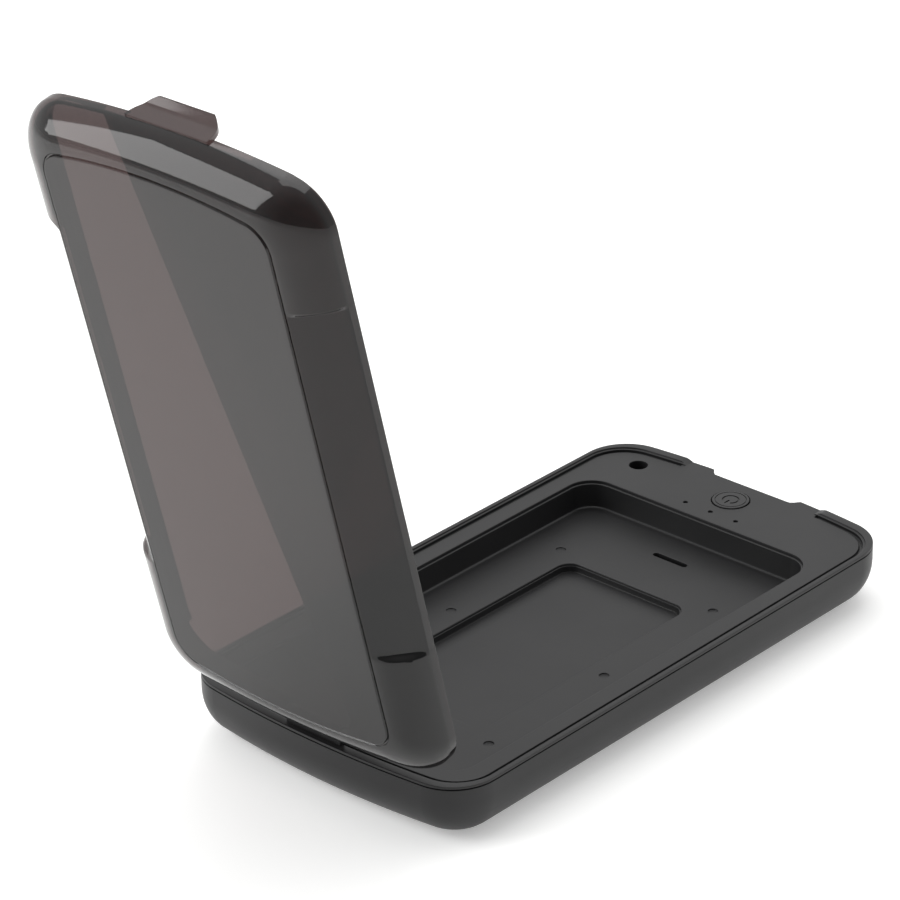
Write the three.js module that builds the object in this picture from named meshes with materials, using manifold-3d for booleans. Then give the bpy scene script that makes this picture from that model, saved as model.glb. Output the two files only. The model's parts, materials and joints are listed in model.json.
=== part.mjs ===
// A flat demagnetizer case: tub, deck with a tray, smoked lid on a rear hinge, power button and the
// pulse electronics inside. Millimetres, +Z up. The tub's flat underside lies at Z = 0 and its feet
// reach just below it; the case is centred on X = 0 and Y = 0. The button and the lid's pull tab are
// at -Y, the hinge is at +Y. The lid is drawn shut and then turned open about the hinge line.
import * as THREE from "three";
import { mergeVertices } from "three/addons/utils/BufferGeometryUtils.js";
import Module from "manifold-3d";

const wasm = await Module();
wasm.setup();

// ---- driving sizes -------------------------------------------------------------------------------
const caseWidth = 120;
const caseLength = 225;
const caseHeight = 22; // from the ground to the rim's top
const cornerRadius = 17;
const endBow = 4.6; // how far the short ends bulge beyond their corners
const footHeight = 0.8; // how far the feet lift the tub
const gap = 0.3; // clearance between neighbouring pieces
const over = 1; // cutters run past a face by this
const sink = 0.5; // joined bodies reach this far into each other

// tub
const tubWall = 1.8;
const tubFloor = 2;
const undersideRun = 12; // the rounded underside, measured inwards
const undersideRise = 15; // and upwards

// deck and rim
const flangeThickness = 1;
const rimWidth = 1.7; // rim at the long sides
const endSetback = 1.5; // the groove sits this much further in at the short ends
const grooveWidth = 2;
const grooveDepth = 1.9;
const deckDrop = 1; // the deck's level below the rim's top
const deckThickness = 1.8;
const skirtDepth = 2.2;
const skirtThickness = 1.2;
const plainFrontHalfWidth = 28; // the groove and the raised rim stop here at the front
const plainFrontReach = 12; // and this far behind the front edge
const plainFrontTuck = 1.5; // the plain stretch's plate runs this far under the rim

// tray and pocket, by their distances from the case's edges and from each other
const traySideMargin = 10;
const trayFrontMargin = 32.1;
const trayRearMargin = 12.5;
const trayDepth = 9.9;
const trayCorner = 10;
const trayWall = 1.6;
const trayFloor = 1.8;
const pocketSideMargin = 23.5;
const pocketEndMargin = 38.2;
const pocketDepth = 3;
const pocketCorner = 6;
const pocketFloor = 1.5;
const slotLength = 14.4;
const slotWidth = 2.3;
const slotMargin = 15.8; // from the tray's front wall
const dimpleSideMargin = 16.6;
const dimpleEndMargin = 34.1;
const dimpleRadius = 1.9;
const dimpleDepth = 0.5;

// front of the deck
const buttonMargin = 15.2; // button's centre from the front edge
const buttonRadius = 6.5;
const buttonProud = 0.3;
const buttonTravel = 0.8;
const buttonLip = 1.2;
const buttonLipThickness = 0.9;
const ledOffset = 11.1; // lamps behind the button's centre
const ledPitch = 11;
const ledHoleRadius = 0.85;
const wellSideMargin = 18.7;
const wellRadius = 3.25;
const wellWall = 1;
const wellFloorGap = 2.7; // under the well, over the tub's floor

// finger scoop in the front edge
const scoopHalfWidth = 20;
const scoopFloorHalfWidth = 17.5;
const scoopDepth = 3.4;
const scoopHeight = 8.5;
const scoopBacking = 1.4;

// lid
const lidRise = 14.2; // panel above the rim's top
const lidWall = 1.6;
const lidSideInset = 0.6;
const lidEndInset = 2.1;
const lidUpright = 3; // straight part of the wall
const lidShelf = 1.2;
const panelSideInset = 14.3;
const panelFrontInset = 11.7;
const panelRearInset = 14.2;
const panelCornerLoss = 7; // the corners tighten by this up to the panel
const panelRaise = 0.4;
const lipThickness = 1.4;
const lipDepth = 1.6; // lip below the rim's top
const lidFullness = 1.7; // exponent of the wall's rounded profile
const lidOpenAngle = 103.6; // degrees
const gripFrontMargin = 42.5; // the flattened side grip starts this far behind the case's front edge
const gripRearMargin = 54.5; // and ends this far from the rear edge

// lid's pull tab
const tabRootHalfWidth = 16.4;
const tabTipHalfWidth = 11.5;
const tabDrop = 6.9;
const tabThickness = 1.5;
const tabKick = 1.9; // how far its end turns outwards
const tabCorner = 5;

// hinge
const hingeMargin = 3.3; // from the case's rear edge
const hingeHeight = 4.4; // above the rim's top
const knuckleRadius = 2;
const pinRadius = 0.8;
const lugHalfWidth = 11.7;
const knuckleLength = 8.2;
const knuckleEnd = 0.8; // blind end of each lid knuckle
const lugWeb = 2;

// fixings
const postRadius = 3.5;
const bossRadius = 4.6;
const bossHeight = 1.6;
const screwRadius = 1.3;
const screwHeadRadius = 2.8;
const screwHeadHeight = 1.3;
const footRadius = 5;
const footThickness = 1.6;
const footSeat = 1.5; // the tub's floor is raised this far round a foot's recess
const footSideMargin = 20;
const footEndMargin = 26.5;

// electronics
const boardClearance = 7.2; // the board's underside below the deck's
const boardThickness = 1.2;
const boardFrontMargin = 8.2;
const boardRearGap = 4;
const boardSideMargin = 16;
const sliver = 0.05; // keeps a half-round end from closing to a point
const boardWellGap = 3;
const boardScrewOffset = 2.8;
const boardBossRadius = 3;
const boardScrewRadius = 1.1;
const boardScrewHead = 2.4;
const boardWallGap = 1.9; // between the board's wing and the cover's seat
const socketLength = 8;
const socketWidth = 9;
const socketHeight = 3.2;
const socketSetback = 0.4; // its mouth behind the tub's inner wall
const socketShell = 0.5;
const socketTongue = 5.8;
const socketOverhang = 1.2; // the socket reaches this far behind the board
const capacitorClearance = 1.7; // between a capacitor and the board over it
const capacitorGap = 1.2;
const capacitorLength = 18;
const chokeRadius = 5;
const chokeWire = 2.3;
const switchWidth = 6.2;
const switchBody = 2.6;
const guideWidth = 2.8;
const guideThickness = 1.4;
const ledLength = 3.2;
const ledWidth = 1.6;
const ledHeight = 1.4;
const transistorLength = 9;
const transistorWidth = 10;
const transistorHeight = 4.4;
const transistorTab = 3.6;
const transistorMargin = 5.3; // from the board's front edge
const chipWidth = 7;
const chipHeight = 1.5;
const coilSideMargin = 3.3; // between the tray's side and the winding
const coilEndMargin = 3.4;
const coilBuild = 6.6; // width of the winding's cross-section
const coilCorner = 12;
const formerBase = 0.9;
const formerRim = 1;
const wellWindingBuild = 2.3;
const wellWindingHeight = 2;
const leadRadius = 0.9;
const leadLevel = 3;
const leadClimb = 3;

// places along the board, from its left edge (0) to its right edge (1)
const screwPlaces = [0.085, 0.915];
const powerStagePlace = 0.167;
const leadPlaces = [0.5, 0.58];
const chokePlace = 0.666;
const chipPlace = 0.78;

// ---- levels and half sizes worked out from them ----------------------------------------------------
const halfX = caseWidth / 2;
const halfY = caseLength / 2;
const rimTop = caseHeight - footHeight;
const tubTop = rimTop - flangeThickness - gap;
const floorTop = tubFloor;
const deckTop = rimTop - deckDrop;
const deckUnder = deckTop - deckThickness;
const frontParting = deckTop - flangeThickness; // where tub and cover meet under the plain front
const grooveInner = rimWidth + grooveWidth;
const seatInset = tubWall + gap; // the cover's inner parts clear the tub's wall by the gap
const scoopReach = scoopHalfWidth + scoopBacking;
const scoopBack = -halfY + scoopDepth + scoopBacking;
const plainFrontBack = -halfY + plainFrontReach;
const plainPlateHalfWidth = plainFrontHalfWidth + plainFrontTuck;
const footTop = footThickness - footHeight;
const footSeatTop = floorTop + footTop;
const footSeatRadius = footRadius + footSeat;
const bossTop = floorTop + bossHeight;

const trayHalfWidth = halfX - traySideMargin;
const trayFront = -halfY + trayFrontMargin;
const trayRear = halfY - trayRearMargin;
const trayCentre = (trayFront + trayRear) / 2;
const trayTop = deckTop - trayDepth; // the tray floor's upper face
const trayUnder = trayTop - trayFloor;
const pocketHalfWidth = trayHalfWidth - pocketSideMargin;
const pocketFront = trayFront + pocketEndMargin;
const pocketRear = trayRear - pocketEndMargin;
const pocketTop = trayTop - pocketDepth;
const pocketUnder = pocketTop - pocketFloor;
const slotY = trayFront + slotMargin;

const buttonY = -halfY + buttonMargin;
const ledY = buttonY + ledOffset;
const wellX = halfX - wellSideMargin;
const wellBottom = floorTop + wellFloorGap; // the well's own underside

const hingeY = halfY - hingeMargin;
const hingeZ = rimTop + hingeHeight;

const boardZ = deckUnder - boardClearance;
const boardTop = boardZ + boardThickness;
const boardFront = -halfY + boardFrontMargin;
const boardRear = trayFront - boardRearGap;
const boardLeft = -halfX + boardSideMargin;
const boardRight = wellX - wellRadius - wellWall - boardWellGap;
const boardAt = (share) => boardLeft + share * (boardRight - boardLeft);
const boardMiddle = (boardFront + boardRear) / 2;
const boardScrewX = screwPlaces.map(boardAt);
const boardScrewY = buttonY + boardScrewOffset;
const socketY = boardRear - socketWidth / 2 + socketOverhang;

const coilInner = {
  halfWidth: trayHalfWidth - coilSideMargin - coilBuild,
  front: trayFront + coilEndMargin + coilBuild,
  rear: trayRear - coilEndMargin - coilBuild,
  corner: coilCorner,
};
const formerBottom = floorTop + gap;
const windingBottom = formerBottom + formerBase + gap;
const windingTop = trayUnder - 2 * gap;
const windingMiddle = (windingBottom + windingTop) / 2;

// ---- outlines ---------------------------------------------------------------------------------------
function arcPoints(cx, cy, radius, from, to, steps, withEnd) {
  const points = [];
  for (let i = 0; i < steps + (withEnd ? 1 : 0); i++) {
    const angle = from + ((to - from) * i) / steps;
    points.push(new THREE.Vector2(cx + radius * Math.cos(angle), cy + radius * Math.sin(angle)));
  }
  return points;
}

// A long rounded outline whose short ends are flat arcs.
function bowedOutline(hx, hy, radius, centreY = 0, cornerSteps = 5, endSteps = 6) {
  const endRadius = (hx ** 2 + endBow ** 2) / (2 * endBow);
  const endCentre = hy - endRadius;
  const cx = hx - radius;
  const cy = endCentre + Math.sqrt((endRadius - radius) ** 2 - cx ** 2);
  const turn = Math.atan2(cy - endCentre, cx);
  const rear = [
    ...arcPoints(cx, cy, radius, 0, turn, cornerSteps, false),
    ...arcPoints(0, endCentre, endRadius, turn, Math.PI - turn, endSteps, false),
    ...arcPoints(-cx, cy, radius, Math.PI - turn, Math.PI, cornerSteps, true),
  ];
  const front = rear.map((p) => new THREE.Vector2(-p.x, -p.y));
  return [...rear, ...front].map((p) => new THREE.Vector2(p.x, p.y + centreY));
}

// The case's own outline, moved in by one distance at the sides and another at the ends.
function caseOutline(sideInset, endInset = sideInset) {
  return bowedOutline(halfX - sideInset, halfY - endInset, cornerRadius - Math.min(sideInset, endInset));
}

function roundedRectangle(x0, x1, y0, y1, radius, steps = 4) {
  const quarter = Math.PI / 2;
  return [
    ...arcPoints(x1 - radius, y1 - radius, radius, 0, quarter, steps, true),
    ...arcPoints(x0 + radius, y1 - radius, radius, quarter, 2 * quarter, steps, true),
    ...arcPoints(x0 + radius, y0 + radius, radius, 2 * quarter, 3 * quarter, steps, true),
    ...arcPoints(x1 - radius, y0 + radius, radius, 3 * quarter, 4 * quarter, steps, true),
  ];
}

// ---- solids -----------------------------------------------------------------------------------------
function solid(geometry) {
  const bare = geometry.clone();
  bare.deleteAttribute("normal");
  bare.deleteAttribute("uv");
  const merged = mergeVertices(bare, 1e-4);
  const index = merged.index.array;
  const kept = [];
  for (let i = 0; i < index.length; i += 3) {
    const [a, b, c] = [index[i], index[i + 1], index[i + 2]];
    if (a !== b && b !== c && c !== a) kept.push(a, b, c);
  }
  const mesh = new wasm.Mesh({
    numProp: 3,
    vertProperties: merged.attributes.position.array,
    triVerts: new Uint32Array(kept),
  });
  return new wasm.Manifold(mesh);
}

function join(...solids) {
  return solids.reduce((a, b) => a.add(b));
}

function cut(body, ...tools) {
  return tools.reduce((a, b) => a.subtract(b), body);
}

function geometryOf(body) {
  const mesh = body.getMesh();
  const geometry = new THREE.BufferGeometry();
  geometry.setAttribute("position", new THREE.BufferAttribute(new Float32Array(mesh.vertProperties), 3));
  geometry.setIndex(new THREE.BufferAttribute(new Uint32Array(mesh.triVerts), 1));
  geometry.computeVertexNormals();
  return geometry;
}

// An outline pushed up from one height to another.
function slab(points, z0, z1) {
  const shape = new THREE.Shape(points);
  const geometry = new THREE.ExtrudeGeometry(shape, { depth: z1 - z0, bevelEnabled: false });
  return solid(geometry.translate(0, 0, z0));
}

// An outline drawn in Y and Z, pushed along X.
function barAlongX(points, x0, x1) {
  const shape = new THREE.Shape(points);
  const geometry = new THREE.ExtrudeGeometry(shape, { depth: x1 - x0, bevelEnabled: false });
  const turn = new THREE.Matrix4().makeBasis(
    new THREE.Vector3(0, 1, 0),
    new THREE.Vector3(0, 0, 1),
    new THREE.Vector3(1, 0, 0),
  );
  return solid(geometry.applyMatrix4(turn).translate(x0, 0, 0));
}

// A skin through outlines that all have the same number of points, closed by a fan at each end.
function loft(levels) {
  const count = levels[0].points.length;
  const positions = [];
  const index = [];
  for (const { points, z } of levels) {
    for (const p of points) positions.push(p.x, p.y, z);
  }
  for (let level = 0; level + 1 < levels.length; level++) {
    for (let i = 0; i < count; i++) {
      const a = level * count + i;
      const b = level * count + ((i + 1) % count);
      index.push(a, b, a + count, b, b + count, a + count);
    }
  }
  const last = (levels.length - 1) * count;
  const centres = positions.length / 3;
  positions.push(0, 0, levels[0].z, 0, 0, levels[levels.length - 1].z);
  for (let i = 0; i < count; i++) {
    const next = (i + 1) % count;
    index.push(next, i, centres);
    index.push(last + i, last + next, centres + 1);
  }
  const geometry = new THREE.BufferGeometry();
  geometry.setAttribute("position", new THREE.Float32BufferAttribute(positions, 3));
  geometry.setIndex(index);
  return solid(geometry);
}

function disc(x, y, radius, z0, z1, sides = 16) {
  const geometry = new THREE.CylinderGeometry(radius, radius, z1 - z0, sides);
  return solid(geometry.rotateX(Math.PI / 2).translate(x, y, (z0 + z1) / 2));
}

function box(x0, x1, y0, y1, z0, z1) {
  const geometry = new THREE.BoxGeometry(x1 - x0, y1 - y0, z1 - z0);
  return solid(geometry.translate((x0 + x1) / 2, (y0 + y1) / 2, (z0 + z1) / 2));
}

// A rod along X.
function rod(x0, x1, y, z, radius, sides = 20) {
  const geometry = new THREE.CylinderGeometry(radius, radius, x1 - x0, sides);
  return solid(geometry.rotateZ(Math.PI / 2).translate((x0 + x1) / 2, y, z));
}

// ---- where things repeat ------------------------------------------------------------------------------
const leftAndRight = [-1, 1];
const dimpleRows = [trayFront + dimpleEndMargin, trayCentre, trayRear - dimpleEndMargin];
const postPlaces = dimpleRows.flatMap((y) =>
  leftAndRight.map((side) => ({ x: side * (trayHalfWidth - dimpleSideMargin), y })),
);
const footPlaces = leftAndRight.flatMap((end) =>
  leftAndRight.map((side) => ({ x: side * (halfX - footSideMargin), y: end * (halfY - footEndMargin) })),
);
const ledPlaces = [-ledPitch, 0, ledPitch].map((x) => ({ x, y: ledY }));

// ---- tub ----------------------------------------------------------------------------------------------
// One skin of the tub: its floor's height, how far it lies inside the outline, and its rounding.
function tubSkin(bottom, inset, run, rise, top) {
  const steps = 6;
  const levels = [];
  for (let i = 0; i <= steps; i++) {
    const angle = (Math.PI / 2) * (1 - i / steps);
    const inward = inset + run * (1 - Math.cos(angle));
    levels.push({ points: caseOutline(inward), z: bottom + rise * (1 - Math.sin(angle)) });
  }
  levels.push({ points: caseOutline(inset), z: top });
  return loft(levels);
}

// The scoop in the front edge, as a cutter: upright above, sloping outwards below.
function scoop() {
  const wallFoot = rimTop - scoopHeight / 2;
  const slopeFoot = rimTop - scoopHeight;
  const back = -halfY + scoopDepth;
  const front = -halfY - scoopDepth;
  const plan = [
    new THREE.Vector2(-scoopHalfWidth - over, front),
    new THREE.Vector2(scoopHalfWidth + over, front),
    new THREE.Vector2(scoopHalfWidth, -halfY + gap),
    new THREE.Vector2(scoopFloorHalfWidth, back),
    new THREE.Vector2(-scoopFloorHalfWidth, back),
    new THREE.Vector2(-scoopHalfWidth, -halfY + gap),
  ];
  const slope = [
    new THREE.Vector2(back, wallFoot + sink),
    new THREE.Vector2(front, wallFoot + sink),
    new THREE.Vector2(front, slopeFoot),
    new THREE.Vector2(-halfY + 2 * gap, slopeFoot),
    new THREE.Vector2(back, wallFoot),
  ];
  return join(
    slab(plan, wallFoot, rimTop + over),
    barAlongX(slope, -scoopFloorHalfWidth, scoopFloorHalfWidth),
  );
}

function socketOpening() {
  const half = socketWidth / 2 + gap;
  const inside = halfX - undersideRun / 2;
  const top = boardTop + socketHeight + 2 * gap;
  return box(inside, halfX + over, socketY - half, socketY + half, boardTop, top);
}

function makeTub() {
  const outer = tubSkin(0, 0, undersideRun, undersideRise, tubTop);
  const inner = tubSkin(
    floorTop, tubWall, undersideRun - tubWall, undersideRise - tubFloor, tubTop + over,
  );
  const plainFront = box(
    -plainPlateHalfWidth - gap, plainPlateHalfWidth + gap,
    -halfY - over, plainFrontBack, frontParting - gap, rimTop,
  );
  const scoopBlock = outer.intersect(
    box(-scoopReach, scoopReach, -halfY, scoopBack, floorTop, frontParting - gap),
  );
  const additions = [scoopBlock];
  const removals = [scoop(), socketOpening(), plainFront];
  for (const { x, y } of postPlaces) {
    additions.push(disc(x, y, bossRadius, sink, bossTop));
    removals.push(disc(x, y, screwRadius + gap, -over, bossTop + over, 12));
    removals.push(disc(x, y, screwHeadRadius + gap, -over, screwHeadHeight + 2 * gap));
  }
  for (const { x, y } of footPlaces) {
    additions.push(disc(x, y, footSeatRadius, sink, footSeatTop, 20));
    removals.push(disc(x, y, footRadius + gap, -over, footTop + gap, 20));
  }
  for (const x of boardScrewX) {
    additions.push(disc(x, boardScrewY, boardBossRadius, sink, boardZ - gap));
    removals.push(disc(x, boardScrewY, boardScrewRadius + gap, bossTop, boardZ, 12));
  }
  return cut(join(cut(outer, inner), ...additions), ...removals);
}

// ---- top cover ----------------------------------------------------------------------------------------
function hingeLug() {
  const barrel = rod(-lugHalfWidth, lugHalfWidth, hingeY, hingeZ, knuckleRadius);
  const half = lugWeb / 2;
  const foot = rimTop - grooveDepth - sink;
  const web = box(-lugHalfWidth, lugHalfWidth, hingeY - half, hingeY + half, foot, hingeZ);
  const bore = rod(-lugHalfWidth - over, lugHalfWidth + over, hingeY, hingeZ, pinRadius + gap, 12);
  return cut(join(barrel, web), bore);
}

// Deck, rim and groove; the front stretch over the finger scoop is plain and flush with the deck.
function makeDeck() {
  const skirtFoot = deckUnder - skirtDepth;
  const flange = slab(caseOutline(0), rimTop - flangeThickness, rimTop);
  const seat = slab(caseOutline(seatInset), deckUnder - sink, rimTop);
  const groove = slab(caseOutline(rimWidth, rimWidth + endSetback), rimTop - grooveDepth, rimTop + over);
  const deckPlan = caseOutline(grooveInner, grooveInner + endSetback);
  const deck = slab(deckPlan, deckUnder, deckTop);
  const underDeck = slab(deckPlan, skirtFoot, deckUnder);
  const front = [-plainFrontHalfWidth, plainFrontHalfWidth, -halfY - over, plainFrontBack];
  const frontWide = [-plainPlateHalfWidth, plainPlateHalfWidth, -halfY - over, plainFrontBack];
  const frontZone = box(...frontWide, skirtFoot, rimTop);
  const frontPlate = slab(caseOutline(0), frontParting, deckTop).intersect(frontZone);
  const frontAbove = box(...front, deckTop, rimTop + over);
  const behindScoop = box(
    -scoopReach - gap, scoopReach + gap, -halfY - over, scoopBack + gap, skirtFoot - over, frontParting,
  );
  const frontFill = slab(caseOutline(seatInset), deckUnder, deckTop).intersect(frontZone);
  const skirt = cut(
    slab(caseOutline(seatInset), skirtFoot, deckUnder),
    slab(caseOutline(seatInset + skirtThickness), skirtFoot - over, deckUnder + over),
  );
  const rimmed = cut(join(flange, seat), groove, underDeck);
  return cut(join(rimmed, deck, frontPlate, frontFill, skirt), frontAbove, behindScoop);
}

function makeTopCover() {
  const trayPlan = (grow) => roundedRectangle(
    -trayHalfWidth - grow, trayHalfWidth + grow, trayFront - grow, trayRear + grow, trayCorner + grow,
  );
  const pocketPlan = (grow) => roundedRectangle(
    -pocketHalfWidth - grow, pocketHalfWidth + grow, pocketFront - grow, pocketRear + grow, pocketCorner + grow,
  );
  const slotPlan = roundedRectangle(
    -slotLength / 2, slotLength / 2, slotY - slotWidth / 2, slotY + slotWidth / 2, slotWidth / 2 - sliver, 3,
  );
  const additions = [
    slab(trayPlan(trayWall), trayUnder, deckTop - gap),
    slab(pocketPlan(trayWall), pocketUnder, trayTop - gap),
    disc(wellX, buttonY, wellRadius + wellWall, wellBottom, deckUnder + sink, 20),
    hingeLug(),
  ];
  const removals = [
    slab(trayPlan(0), trayTop, rimTop + over),
    slab(pocketPlan(0), pocketTop, trayTop + over),
    slab(slotPlan, trayUnder - over, trayTop + over),
    disc(wellX, buttonY, wellRadius, wellBottom + wellWall, rimTop + over, 20),
    disc(0, buttonY, buttonRadius + gap, deckUnder - over, rimTop + over, 32),
    scoop(),
  ];
  for (const { x, y } of ledPlaces) removals.push(disc(x, y, ledHoleRadius, deckUnder - over, rimTop, 10));
  for (const { x, y } of postPlaces) {
    additions.push(disc(x, y, postRadius, bossTop + gap, trayUnder + sink));
    removals.push(disc(x, y, screwRadius + gap, floorTop, trayUnder - gap, 12));
    removals.push(disc(x, y, dimpleRadius, trayTop - dimpleDepth, trayTop + over, 12));
  }
  return cut(join(makeDeck(), ...additions), ...removals);
}

// ---- lid, drawn shut ------------------------------------------------------------------------------------
// The lid's wall from its foot (share 0) to the panel's edge (share 1), moved in by thickness.
function lidLevel(share, thickness) {
  const angle = (share * Math.PI) / 2;
  const inward = 1 - Math.cos(angle) ** (2 / lidFullness);
  const upward = Math.sin(angle) ** (2 / lidFullness);
  const level = thickness * Math.cos(angle);
  const sideInset = lidSideInset + (panelSideInset - lidSideInset) * inward + level;
  const frontInset = lidEndInset + (panelFrontInset - lidEndInset) * inward + level;
  const rearInset = lidEndInset + (panelRearInset - lidEndInset) * inward + level;
  const radius = cornerRadius - lidSideInset - panelCornerLoss * inward - thickness;
  const hy = halfY - (frontInset + rearInset) / 2;
  const points = bowedOutline(halfX - sideInset, hy, radius, (frontInset - rearInset) / 2);
  const rise = lidRise - lidUpright;
  return { points, z: rimTop + lidUpright + rise * upward - thickness * Math.sin(angle) };
}

function lidSkin(thickness, foot) {
  const steps = 6;
  const levels = [{ points: lidLevel(0, thickness).points, z: foot }];
  for (let i = 0; i <= steps; i++) levels.push(lidLevel(i / steps, thickness));
  return loft(levels);
}

function pullTab() {
  const inner = -halfY + scoopDepth - gap; // the face turned to the case
  const outer = inner - tabThickness;
  const bend = rimTop - tabDrop / 2;
  const end = rimTop - tabDrop;
  const top = rimTop + lidUpright;
  const tip = tabTipHalfWidth - tabCorner / 2;
  const curve = tabTipHalfWidth + tabCorner / 2;
  const side = [
    new THREE.Vector2(inner, top),
    new THREE.Vector2(outer, top),
    new THREE.Vector2(outer, bend + gap),
    new THREE.Vector2(outer - tabKick, end + sink),
    new THREE.Vector2(outer - tabKick + sink, end),
    new THREE.Vector2(inner - tabKick, end + gap),
    new THREE.Vector2(inner, bend),
  ];
  const face = new THREE.Shape();
  face.moveTo(-tabRootHalfWidth, top + over);
  face.lineTo(-tabRootHalfWidth, rimTop);
  face.quadraticCurveTo(-curve, end - over, -tip, end - over);
  face.lineTo(tip, end - over);
  face.quadraticCurveTo(curve, end - over, tabRootHalfWidth, rimTop);
  face.lineTo(tabRootHalfWidth, top + over);
  const reach = 2 * (scoopDepth + tabKick);
  const plate = new THREE.ExtrudeGeometry(face, { depth: reach, bevelEnabled: false, curveSegments: 5 });
  const outline = solid(plate.rotateX(Math.PI / 2).translate(0, -halfY + reach / 2, 0));
  return barAlongX(side, -tabRootHalfWidth, tabRootHalfWidth).intersect(outline);
}

// The band under the lid's foot that drops into the groove; it's left out over the hinge and the scoop.
function lidLip(foot) {
  const inset = rimWidth + gap;
  const low = rimTop - lipDepth;
  const hole = slab(
    caseOutline(inset + lipThickness, inset + lipThickness + endSetback), low - over, foot + lidShelf + over,
  );
  const shelf = cut(slab(lidLevel(0, 0).points, foot, foot + lidShelf), hole);
  const band = cut(slab(caseOutline(inset, inset + endSetback), low, foot + sink), hole);
  const rear = box(-halfX, halfX, halfY - cornerRadius, halfY + over, low - over, foot);
  const reach = plainPlateHalfWidth + gap;
  const front = box(-reach, reach, -halfY - over, plainFrontBack + gap, low - over, foot);
  return join(shelf, cut(band, rear, front));
}

// A section in X and Z, pushed along Y, and its mirror image on the other side.
function pairAlongY(points, y0, y1) {
  const side = barAlongX(points.map(([x, z]) => new THREE.Vector2(x, z)), y0, y1);
  const turn = new THREE.Matrix4().makeBasis(
    new THREE.Vector3(0, 1, 0),
    new THREE.Vector3(1, 0, 0),
    new THREE.Vector3(0, 0, 1),
  );
  const geometry = geometryOf(side).applyMatrix4(turn);
  const index = geometry.index.array;
  for (let i = 0; i < index.length; i += 3) [index[i], index[i + 1]] = [index[i + 1], index[i]];
  const right = solid(geometry);
  return join(right, right.mirror([1, 0, 0]));
}

// The bulging side walls are flattened along their middle: a plate lies on the bulge's chord, closed at
// both ends, and what stands outside it is cut away.
function flattenSides(shell, outer) {
  const foot = [halfX - lidSideInset, rimTop + lidUpright];
  const top = [halfX - panelSideInset, rimTop + lidRise];
  const chord = Math.hypot(foot[0] - top[0], top[1] - foot[1]);
  const inward = (lidWall * (top[1] - foot[1])) / chord;
  const down = (lidWall * (foot[0] - top[0])) / chord;
  const innerFoot = [foot[0] - inward, foot[1] - down];
  const innerTop = [top[0] - inward, top[1] - down];
  const outside = [[halfX + over, foot[1]], [halfX + over, top[1] + over], [top[0], top[1] + over]];
  const front = -halfY + gripFrontMargin;
  const rear = halfY - gripRearMargin;
  const plate = pairAlongY([foot, top, innerTop, innerFoot], front - lidWall, rear + lidWall);
  const closed = [innerFoot, foot, ...outside, top, innerTop];
  const frontEnd = pairAlongY(closed, front - lidWall, front).intersect(outer);
  const rearEnd = pairAlongY(closed, rear, rear + lidWall).intersect(outer);
  return cut(join(shell, plate, frontEnd, rearEnd), pairAlongY([foot, ...outside, top], front, rear));
}

function makeLid() {
  const foot = rimTop + gap;
  const outer = lidSkin(0, foot);
  const shell = flattenSides(cut(outer, lidSkin(lidWall, foot - over)), outer);
  const panelTop = rimTop + lidRise;
  const panel = slab(lidLevel(1, sink).points, panelTop - sink, panelTop + panelRaise);
  const side = lugHalfWidth + 2 * gap;
  const knuckleTip = side + knuckleLength;
  const pinReach = knuckleTip - knuckleEnd;
  const knuckles = cut(
    rod(-knuckleTip, knuckleTip, hingeY, hingeZ, knuckleRadius),
    rod(-side, side, hingeY, hingeZ, knuckleRadius + over),
  );
  const notchTop = hingeZ + knuckleRadius + 2 * gap;
  const notch = box(-side, side, hingeY - 3 * knuckleRadius, halfY + over, rimTop - over, notchTop);
  const pinHole = rod(-pinReach, pinReach, hingeY, hingeZ, pinRadius + gap, 12);
  const upper = cut(join(shell, panel, lidLip(foot), pullTab()), notch);
  return cut(join(upper, knuckles), pinHole);
}

// ---- small pieces -------------------------------------------------------------------------------------
function makeHingePin() {
  const reach = lugHalfWidth + gap + knuckleLength - knuckleEnd;
  return rod(-reach, reach, hingeY, hingeZ, pinRadius, 12);
}

function makeButton() {
  const top = deckTop + buttonProud;
  const lipTop = deckUnder - gap;
  const cap = disc(0, buttonY, buttonRadius, lipTop - gap, top, 32);
  const lip = disc(0, buttonY, buttonRadius + buttonLip, lipTop - buttonLipThickness, lipTop, 32);
  const ring = cut(
    disc(0, buttonY, buttonRadius - 2 * gap, top - gap, top + over, 32),
    disc(0, buttonY, buttonRadius - 4 * gap, top - over, top + 2 * over, 32),
  );
  return cut(join(cap, lip), ring);
}

function makeSwitch() {
  const half = switchWidth / 2;
  const keyTop = deckUnder - buttonLipThickness - buttonTravel - 2 * gap;
  const body = box(-half, half, buttonY - half, buttonY + half, boardTop + gap, boardTop + switchBody);
  return join(body, disc(0, buttonY, half / 2, boardTop + switchBody - gap, keyTop, 12));
}

function makeLightGuide() {
  const reach = ledPitch + guideWidth;
  const barTop = deckUnder - gap;
  const half = guideWidth / 2;
  const bar = box(-reach, reach, ledY - half, ledY + half, barTop - guideThickness, barTop);
  const foot = boardTop + ledHeight + gap;
  const pins = ledPlaces.map(({ x, y }) => disc(x, y, ledHoleRadius - gap, foot, deckTop - sink, 8));
  return join(bar, ...pins);
}

function makeLed({ x, y }) {
  const length = ledLength / 2;
  const width = ledWidth / 2;
  return box(x - length, x + length, y - width, y + width, boardTop + gap, boardTop + ledHeight);
}

function makeBoard() {
  const main = box(boardLeft, boardRight, boardFront, boardRear, boardZ, boardTop);
  const wing = box(
    boardRight - over, halfX - seatInset - boardWallGap,
    socketY - socketWidth / 2, boardRear, boardZ, boardTop,
  );
  const holes = boardScrewX.map((x) =>
    disc(x, boardScrewY, boardScrewRadius + gap, boardZ - over, boardTop + over, 12),
  );
  return cut(join(main, wing), ...holes);
}

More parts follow.
